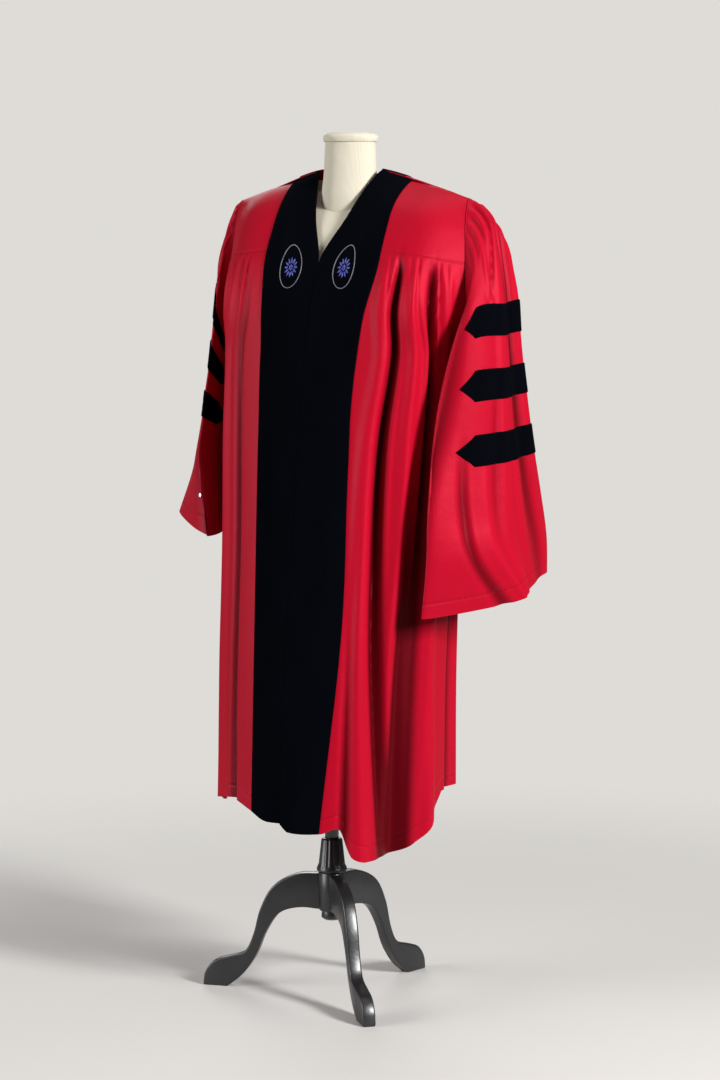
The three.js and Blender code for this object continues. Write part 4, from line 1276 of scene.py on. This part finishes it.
def makeSleeve(side, word, surface, last):
    columns = sleeveGrid["columns"]
    drops = rowDrops(0, last, sleeveGrid["rowStep"])
    share, drop = gridOf(np.arange(columns) / columns, drops)
    points, normals = clothGrid(surface, share, drop, side > 0, True)
    cutPoints["sleeve" + word] = points
    u = np.concatenate([share, np.ones_like(share[:, :1])], axis=1) * gownSizes["sleeveArc"]
    v = np.concatenate([drop, drop[:, :1]], axis=1)
    folds = foldDepth(surface, share, drop, points, normals)
    return clothPiece("sleeve" + word, points, normals, 0, -gownSizes["clothWall"], True, u, v, folds)


def makeBar(side, word, surface, number, top, bottom):
    sizes = barSizes
    first, final = sizes[word]
    drops = spread(sizes["downSteps"], top, bottom, sizes["downNear"])
    way, drop = gridOf(spread(sizes["acrossSteps"], 0, 1, sizes["acrossNear"]), drops)
    point = (1 - np.abs(2 * (drop - top) / (bottom - top) - 1)) * sizes["point"]
    start, end = first - point, final + point
    share = (start + way * (end - start)) / sizes["columns"]
    arc = gownSizes["sleeveArc"]
    length = (end - start) / sizes["columns"] * arc
    soft = edgeRound(way * length, 0 * length, length, panelGrid["softEdge"])
    soft = np.minimum(soft, edgeRound(drop, top, bottom, panelGrid["softEdge"]))
    name = f"bar{word}{number}"
    return velvetPiece(name, surface, share, drop, side > 0, share * arc, sizes["lay"], soft)


for word, rows, satin in (
    ("Left", sleeveLeft, sleeveLeftSatin),
    ("Right", sleeveRight, sleeveRightSatin),
):
    side, lower = sides[word], word.lower()
    surface = sleeveSurface(side)
    sleeve = makeSleeve(side, word, surface, rows[-1]["drop"])
    finishPiece(sleeve, satin, ["sleeve_" + lower])
    for number, row in enumerate(barSizes["rows"], 1):
        bar = makeBar(side, word, surface, number, rows[row]["drop"], rows[row + 1]["drop"])
        finishPiece(bar, velvet, [f"bar_{lower}_{number}"])
print("sleeves made")


# A plain ring with a many-petalled rosette, sewn on each velvet front
rosette = {
    "places": {"Left": (0.188, 187), "Right": (0.178, 187)},
    "ringHalfWide": 21.5,
    "ringHalfHigh": 40.5,
    "ringThread": 0.85,
    "ringSteps": 96,
    "ringSides": 8,
    "petals": 12,
    "petalIn": 5.5,
    "petalOut": 13.5,
    "petalHalf": 1.5,
    "innerPetals": 6,
    "innerGap": 0.8,
    "innerHalf": 1.1,
    "petalSteps": 10,
    "petalAcross": 6,
    "petalTip": 0.12,
    "stretch": 1.45,
    "height": 1.1,
    "lift": 0.1,
    "sink": -0.25,
}


def emblemMapper(side, at, drop):
    # turns distances across and down an emblem into points over the velvet
    surface = frontSurface(side)

    def place(u, v, lift):
        a, d = np.full(np.shape(u), float(at)), np.full(np.shape(u), float(drop))
        alongAt = np.linalg.norm(surface(a + 0.01, d) - surface(a - 0.01, d), axis=-1) / 0.02
        alongDrop = np.linalg.norm(surface(a, d + 4) - surface(a, d - 4), axis=-1) / 8
        a, d = a + np.asarray(u) / alongAt * side, d + np.asarray(v) / alongDrop
        points, normals = surface(a, d), normalOf(surface, a, d, 0.004, 1.5, side > 0)
        base = gownSizes["layGap"] + gownSizes["velvetWall"]
        return points + normals * (base + np.asarray(lift))[..., None]

    return place


def tubeFaces(rows, count, steps, width):
    # quads between each of the rows and the next, where the last may meet the first
    faces = []
    for row in range(rows):
        for i in range(steps):
            a, b = row * width + i, row * width + (i + 1) % width
            nextRow = (row + 1) % count * width
            faces.append((a, b, nextRow + (i + 1) % width, nextRow + i))
    return faces


def outwardFaces(verts, faces):
    faces = np.array(faces)
    return faces[:, ::-1] if quadVolume(verts, faces) < 0 else faces


def ringMesh(place, name):
    sizes = rosette
    steps, count = sizes["ringSteps"], sizes["ringSides"]
    turn = np.linspace(0, 2 * math.pi, steps, endpoint=False)
    rows = []
    for k in range(count):
        around = 2 * math.pi * k / count
        out = sizes["ringThread"] * math.cos(around)
        up = sizes["ringThread"] * (math.sin(around) + 0.3)
        u, v = (sizes["ringHalfWide"] + out) * np.cos(turn), (sizes["ringHalfHigh"] + out) * np.sin(turn)
        rows.append(place(u[None], v[None], np.full((1, steps), up))[0])
    verts = np.stack(rows).reshape(-1, 3)
    return meshPiece(name, verts, outwardFaces(verts, tubeFaces(count, count, steps, steps)), None, 80)


def petalShapes():
    # each petal as its turn, its start and end from the middle, and its half width
    sizes = rosette
    shapes = []
    for i in range(sizes["petals"]):
        turn = 2 * math.pi * i / sizes["petals"]
        shapes.append((turn, sizes["petalIn"], sizes["petalOut"], sizes["petalHalf"]))
    start = sizes["innerGap"]
    for i in range(sizes["innerPetals"]):
        turn = 2 * math.pi * (i + 0.5) / sizes["innerPetals"]
        shapes.append((turn, start, sizes["petalIn"] - start, sizes["innerHalf"]))
    return shapes


def onePetal(place, turn, start, end, half):
    # a domed top over a flat underside, closed at both tips
    sizes = rosette
    steps, across = sizes["petalSteps"], sizes["petalAcross"]
    share = np.linspace(0, 1, steps + 1)
    width = half * np.sin(math.pi * share**0.8) + sizes["petalTip"]
    radial = start + (end - start) * share
    swell = np.sin(math.pi * np.clip(share, 0.06, 0.94))
    top, under = [], []
    for j in range(across + 1):
        side = 2 * j / across - 1
        sideways = side * width
        u = radial * math.cos(turn) - sideways * math.sin(turn)
        v = (radial * math.sin(turn) + sideways * math.cos(turn)) * sizes["stretch"]
        dome = sizes["height"] * math.sqrt(max(0, 1 - side * side)) * swell
        top.append(place(u[None], v[None], dome[None] + sizes["lift"])[0])
        under.append(place(u[None], v[None], np.full((1, steps + 1), sizes["sink"]))[0])
    rows = np.stack(top + under[::-1])
    count, verts = len(rows), rows.reshape(-1, 3)
    quads = tubeFaces(count, count, steps, steps + 1)
    for tip in (0, steps):
        for j in range(count // 2 - 1):
            near = [row * (steps + 1) + tip for row in (j, j + 1, count - 2 - j, count - 1 - j)]
            quads.append(near if tip else near[::-1])
    return verts, outwardFaces(verts, quads)


def petalMesh(place, name):
    verts, faces, first = [], [], 0
    for shape in petalShapes():
        points, quads = onePetal(place, *shape)
        verts.append(points)
        faces.append(quads + first)
        first += len(points)
    return meshPiece(name, np.concatenate(verts), np.concatenate(faces), None, 60)


for word, (at, drop) in rosette["places"].items():
    place = emblemMapper(sides[word], at, drop)
    ring = finishPiece(ringMesh(place, "emblemRing" + word), greyThread)
    petals = finishPiece(petalMesh(place, "emblemRosette" + word), blueThread)
print("emblems made")


# The dress form: a padded body with a neck and a cap, all in linen
formSizes = {
    "sides": 96,
    "bodyRows": 70,
    "neckRows": 18,
    "capRows": 14,
    "pull": 0.993,
    "seams": 4,
    "seamDepth": 0.7,
    "seamWidth": 0.12,
    "shoulderHalves": (183, 170, 155, 140, 128, 118, 108),
    "shoulderFront": 28,
    "shoulderBack": 52,
    "underCloth": 2.6,
}


def ovalRings(rows, count, pull=1.0, seamDepth=0.0):
    zs = np.linspace(rows[0]["z"], rows[-1]["z"], count + 1)
    half = readColumn(rows, "half", "z", zs) * pull
    front, rear = readColumn(rows, "front", "z", zs), readColumn(rows, "back", "z", zs)
    turn = np.linspace(0, 2 * math.pi, formSizes["sides"], endpoint=False)
    groove = seamDepth * bump(np.sin(turn * formSizes["seams"]) / formSizes["seamWidth"])
    centre, depth = (front + rear) / 2, (rear - front) / 2 * pull
    x = half[:, None] * np.cos(turn) - groove * np.cos(turn)
    y = centre[:, None] + depth[:, None] * np.sin(turn) - groove * np.sin(turn)
    return np.stack([x, y, np.broadcast_to(zs[:, None], x.shape)], -1)


def closedLoft(name, rings, crispAngle=40):
    count, around = rings.shape[:2]
    verts = np.concatenate([rings.reshape(-1, 3), rings[0].mean(0)[None], rings[-1].mean(0)[None]])
    faces = tubeFaces(count - 1, count, around, around)
    for i in range(around):
        n = (i + 1) % around
        faces.append((count * around, n, i))
        faces.append((count * around + 1, (count - 1) * around + i, (count - 1) * around + n))
    return meshPiece(name, verts, faces, None, crispAngle)


def shoulderRings():
    # ever smaller ovals that stay just under the cloth's shoulder seam
    sizes = formSizes
    seam = next(row for row in frontShoulder if row["drop"] == 0)
    halves = np.array(sizes["shoulderHalves"], float)
    along = [seam[name][0] for name in frontStations]
    heights = smoothAt(along, [seam[name][2] for name in frontStations], halves) - sizes["underCloth"]
    rings = []
    for z, half in zip(heights, halves):
        row = {"z": z, "half": half, "front": sizes["shoulderFront"], "back": sizes["shoulderBack"]}
        rings.append(ovalRings([row, dict(row, z=z + 1)], 1, sizes["pull"])[:1])
    return rings


def makeForm():
    sizes = formSizes
    body = ovalRings(torsoRows, sizes["bodyRows"], sizes["pull"], sizes["seamDepth"])
    torso = closedLoft("formBody", np.concatenate([body, *shoulderRings()]))
    finishPiece(torso, linenCover, ["form_torso"])
    neck = closedLoft("formNeck", ovalRings(neckRows, sizes["neckRows"]))
    finishPiece(neck, linenCover, ["form_torso"])
    cap = closedLoft("formNeckCap", ovalRings(neckCapRows, sizes["capRows"]), 50)
    finishPiece(cap, linenCover, ["form_neck_cap"])


makeForm()
print("form made")


# The stand, modelled piece by piece: a turned part has its radius and height at each station
standSizes = {
    "poleAt": (-16, -14),
    "pole": [(13, 871.7), (13, 296.3)],
    "collar": [(17, 296), (20, 293), (25, 247), (27, 242), (28.5, 239), (28.5, 235), (26, 232.3)],
    "hub": [(23.5, 232), (25, 230), (25, 161), (23, 158)],
    "stub": [(19, 157.7), (20, 145), (15, 141)],
    "flutes": 16,
    "fluteDepth": 1.3,
    "fluteRun": (246, 294),
    "legThickness": 24,
    "legAngles": (-44, 76, 196),
    "legBevel": 3.2,
    "legTop": (
        (20, 229), (66, 225), (112, 200), (138, 154), (152, 103),
        (169, 70), (201, 58), (230, 48), (247, 26), (251, 0),
    ),
    "legUnder": ((203, 0), (176, 22), (148, 61), (127, 110), (100, 148), (62, 161), (20, 160)),
    "legSteps": (36, 30),
}


def placed(x, y, z):
    return ((x + frameShift[0]) * mm, (y + frameShift[1]) * mm, (z + frameShift[2]) * mm)


def deselectAll():
    bpy.ops.object.select_all(action="DESELECT")


def startEdit():
    bpy.ops.object.mode_set(mode="EDIT")
    bpy.ops.mesh.select_all(action="SELECT")


def endEdit(piece, name):
    bpy.ops.mesh.select_all(action="SELECT")
    bpy.ops.mesh.remove_doubles(threshold=0.00001)
    bpy.ops.mesh.normals_make_consistent(inside=False)
    bpy.ops.object.mode_set(mode="OBJECT")
    piece.name = name
    piece.data.name = name
    bpy.ops.object.transform_apply(location=True, rotation=True, scale=True)


def softenEdges(piece, width, segments, angle=40):
    bevel = piece.modifiers.new("softEdge", "BEVEL")
    bevel.width = width * mm
    bevel.segments = segments
    bevel.limit_method = "ANGLE"
    bevel.angle_limit = math.radians(angle)
    bpy.ops.object.modifier_apply(modifier="softEdge")
    bpy.ops.object.shade_smooth_by_angle(angle=math.radians(40))
    return piece


def turnedPiece(name, profile, around):
    # a flat ring at the first station, pulled down and resized from one station to the next
    deselectAll()
    atX, atY = standSizes["poleAt"]
    radius, height = profile[0]
    bpy.ops.mesh.primitive_circle_add(
        vertices=around, radius=radius * mm, fill_type="NGON", location=placed(atX, atY, height)
    )
    piece = bpy.context.object
    startEdit()
    for nextRadius, nextHeight in profile[1:]:
        down = (0, 0, (nextHeight - height) * mm)
        bpy.ops.mesh.extrude_region_move(TRANSFORM_OT_translate={"value": down})
        scale = nextRadius / radius
        bpy.ops.transform.resize(value=(scale, scale, 1), center_override=placed(atX, atY, nextHeight))
        radius, height = nextRadius, nextHeight
    endEdit(piece, name)
    return piece


def makeCollar():
    # a tapered collar with shallow flutes up its side
    sizes = standSizes
    piece = turnedPiece("standCollar", sizes["collar"], sizes["flutes"] * 8)
    centre = Vector(placed(*sizes["poleAt"], 0))
    low, high = sizes["fluteRun"]
    for vert in piece.data.vertices:
        if low < vert.co.z / mm < high:
            away = Vector((vert.co.x - centre.x, vert.co.y - centre.y, 0))
            turn = math.atan2(away.y, away.x) * sizes["flutes"]
            vert.co -= away.normalized() * sizes["fluteDepth"] * mm * (0.5 - 0.5 * math.cos(turn))
    return softenEdges(piece, 0.8, 2, 50)


def smoothOutline(points, count):
    knots = np.concatenate([[0], np.cumsum(np.linalg.norm(np.diff(points, axis=0), axis=1))])
    return smoothAt(knots, np.array(points, float), np.linspace(0, knots[-1], count))


def makeLeg(number, angle):
    # a board cut to the leg's outline, then given its thickness and soft edges
    sizes = standSizes
    edges = zip((sizes["legTop"], sizes["legUnder"]), sizes["legSteps"])
    outline = np.concatenate([smoothOutline(edge, count) for edge, count in edges])
    turn = math.radians(angle)
    alongX, alongY = math.cos(turn), math.sin(turn)
    thick = sizes["legThickness"]
    deselectAll()
    bpy.ops.mesh.primitive_circle_add(vertices=len(outline), radius=0.1, fill_type="NGON", location=(0, 0, 0))
    piece = bpy.context.object
    atX, atY = sizes["poleAt"]
    for vert, (r, z) in zip(piece.data.vertices, outline):
        vert.co = placed(atX + alongX * r + alongY * thick / 2, atY + alongY * r - alongX * thick / 2, z)
    startEdit()
    push = (-alongY * thick * mm, alongX * thick * mm, 0)
    bpy.ops.mesh.extrude_region_move(TRANSFORM_OT_translate={"value": push})
    endEdit(piece, f"standLeg{number}")
    return softenEdges(piece, sizes["legBevel"], 3, 50)


def makeStand():
    sizes = standSizes
    made = {
        "stand_pole": softenEdges(turnedPiece("standPole", sizes["pole"], 48), 0.6, 2),
        "stand_collar": makeCollar(),
        "stand_hub": softenEdges(turnedPiece("standHub", sizes["hub"], 48), 0.8, 2),
        "stand_stub": softenEdges(turnedPiece("standStub", sizes["stub"], 40), 0.8, 2),
    }
    for number, angle in enumerate(sizes["legAngles"], 1):
        made[f"stand_leg_{number}"] = makeLeg(number, angle)
    for node, piece in made.items():
        finishPiece(piece, blackLacquer, [node])


makeStand()
print("stand made")


# The snap on the right sleeve: a dished disc with a small raised middle
snapSizes = {
    "share": 0.27,
    "drop": 566,
    "radius": 5,
    "height": 2.2,
    "lift": 0.7,
    "topScale": 0.86,
    "rim": 1.1,
    "dish": 0.7,
    "slope": 1.5,
    "middle": 0.9,
}


def snapPlace():
    sizes = snapSizes
    surface = sleeveSurface(-1)
    share, drop = np.full((1, 1), sizes["share"]), np.full((1, 1), float(sizes["drop"]))
    normal = Vector(normalOf(surface, share, drop, 0.01, 4, False)[0, 0])
    return Vector(surface(share, drop)[0, 0]) + normal * sizes["lift"], normal


def selectTop(piece, height):
    bpy.ops.object.mode_set(mode="OBJECT")
    for face in piece.data.polygons:
        face.select = face.center.z > height
    bpy.ops.object.mode_set(mode="EDIT")


def makeSnap():
    sizes = snapSizes
    base, normal = snapPlace()
    middle = sizes["height"] / 2 * mm
    deselectAll()
    bpy.ops.mesh.primitive_cylinder_add(
        vertices=40, radius=sizes["radius"] * mm, depth=sizes["height"] * mm, location=(0, 0, middle)
    )
    piece = bpy.context.object
    selectTop(piece, middle * 0.9)
    scale = sizes["topScale"]
    bpy.ops.transform.resize(value=(scale, scale, 1), center_override=(0, 0, middle * 2))
    bpy.ops.mesh.inset(thickness=sizes["rim"] * mm)
    bpy.ops.transform.translate(value=(0, 0, -sizes["dish"] * mm))
    bpy.ops.mesh.inset(thickness=sizes["slope"] * mm)
    bpy.ops.transform.translate(value=(0, 0, sizes["middle"] * mm))
    bpy.ops.mesh.select_all(action="SELECT")
    bpy.ops.mesh.normals_make_consistent(inside=False)
    bpy.ops.object.mode_set(mode="OBJECT")
    piece.name = "snapDisc"
    piece.rotation_euler = normal.to_track_quat("Z", "Y").to_euler()
    piece.location = placed(*base)
    bpy.ops.object.transform_apply(location=True, rotation=True, scale=True)
    return softenEdges(piece, 0.25, 2, 30)


snap = finishPiece(makeSnap(), snapMetal, ["snap_right"])
print("snap made")


# Print the size that each cloth piece was cut to
def declareSheet(name, closed=False, pointed=False):
    # the length of a piece with pointed ends is read along its middle
    points = cutPoints[name]
    loop = np.concatenate([points, points[:, :1]], axis=1) if closed else points
    middle = points.shape[1] // 2
    run = points[:, middle : middle + 1] if pointed else points
    width, length, area = reach(loop, 1), reach(run, 0), outerArea(points, closed)
    print("cut of", name, round(width, 3), round(length, 3), round(area, 3))


for word in sides:
    front, yoke, sleeve = "front" + word, "yokeFront" + word, "sleeve" + word
    declareSheet(front)
    declareSheet(yoke)
    declareSheet("velvet" + word, False)
    declareSheet(sleeve, True)
    for number in range(1, len(barSizes["rows"]) + 1):
        declareSheet(f"bar{word}{number}", pointed=True)
declareSheet("backPanel")
declareSheet("yokeBack")
declareSheet("neckbandVelvet")


# Studio: a pale floor that fades into the background, four soft lights and the camera
studio = {
    "background": (0.735, 0.715, 0.685, 1),
    "ambientColour": (1, 0.985, 0.96, 1),
    "ambient": 0.12,
    "floor": (0.56, 0.545, 0.525, 1),
    "floorRadius": 2.4,
    "floorGlow": 0.02,
    "floorSolid": 0.7,
    "floorFade": 2.2,
    "cameraTurn": 30.0,
    "cameraAway": 5.2,
    "cameraHeight": 1.42,
    "cameraTilt": 6.166,
    "lens": 93.77,
    "shift": 17 / 1080,
}
lights = tabled(
    "name x y z aimZ wide high energy",
    [
        ("keyLight", 4.1, -1.0, 2.6, 1.1, 0.8, 1.4, 330),
        ("fillLight", -3.1, -3.3, 1.7, 1.0, 2.6, 2.6, 165),
        ("topLight", 0.3, 0.2, 3.9, 1.0, 2.0, 2.0, 20),
        ("rearLight", -2.6, 3.2, 2.4, 1.1, 1.8, 2.2, 60),
    ],
)


def makeFloor():
    deselectAll()
    radius = studio["floorRadius"]
    bpy.ops.mesh.primitive_circle_add(vertices=96, radius=radius, fill_type="NGON", location=(0, 0, 0))
    floor = bpy.context.object
    floor.name = "floor"
    sockets = {
        "Roughness": 0.7,
        "Specular IOR Level": 0.2,
        "Base Color": studio["floor"],
        "Emission Color": studio["floor"],
        "Emission Strength": studio["floorGlow"],
    }
    material, tree, shader = newMaterial("paleFloor", sockets)
    away = tree.nodes.new("ShaderNodeVectorMath")
    away.operation = "LENGTH"
    tree.links.new(placeOf(tree, "Object"), away.inputs[0])
    ends = (studio["floorSolid"], studio["floorFade"])
    tree.links.new(smoothRange(tree, away.outputs["Value"], ends, (1, 0)), shader.inputs["Alpha"])
    floor.data.materials.append(material)


def makeWorld():
    # the camera sees the plain background, while a weaker light fills the shadows
    world = bpy.data.worlds.new("studioAir")
    world.use_nodes = True
    bpy.context.scene.world = world
    tree = world.node_tree
    tree.nodes.clear()
    seen, lit = tree.nodes.new("ShaderNodeBackground"), tree.nodes.new("ShaderNodeBackground")
    seen.inputs[0].default_value = studio["background"]
    lit.inputs[0].default_value = studio["ambientColour"]
    lit.inputs[1].default_value = studio["ambient"]
    path, mix = tree.nodes.new("ShaderNodeLightPath"), tree.nodes.new("ShaderNodeMixShader")
    out = tree.nodes.new("ShaderNodeOutputWorld")
    tree.links.new(path.outputs["Is Camera Ray"], mix.inputs[0])
    tree.links.new(lit.outputs[0], mix.inputs[1])
    tree.links.new(seen.outputs[0], mix.inputs[2])
    tree.links.new(mix.outputs[0], out.inputs[0])


def makeLights():
    for row in lights:
        data = bpy.data.lights.new(row["name"], "AREA")
        data.shape = "RECTANGLE"
        data.size, data.size_y = row["wide"], row["high"]
        data.energy = row["energy"]
        light = bpy.data.objects.new(row["name"], data)
        light.location = (row["x"], row["y"], row["z"])
        aim = Vector((0, 0, row["aimZ"])) - light.location
        light.rotation_euler = aim.to_track_quat("-Z", "Y").to_euler()
        bpy.context.collection.objects.link(light)


def makeCamera():
    data = bpy.data.cameras.new("photoView")
    data.sensor_fit = "VERTICAL"
    data.sensor_height = 36
    data.lens = studio["lens"]
    data.shift_x = studio["shift"]
    camera = bpy.data.objects.new("photoView", data)
    turn, tilt = math.radians(studio["cameraTurn"]), math.radians(studio["cameraTilt"])
    away = studio["cameraAway"]
    x = away * math.sin(turn) + frameShift[0] * mm
    y = -away * math.cos(turn) + frameShift[1] * mm
    camera.location = (x, y, studio["cameraHeight"])
    look = Vector((-math.sin(turn) * math.cos(tilt), math.cos(turn) * math.cos(tilt), -math.sin(tilt)))
    camera.rotation_euler = look.to_track_quat("-Z", "Y").to_euler()
    bpy.context.collection.objects.link(camera)
    bpy.context.scene.camera = camera


makeFloor()
makeWorld()
makeLights()
makeCamera()
bpy.context.scene.view_settings.view_transform = "Standard"
print("studio made")
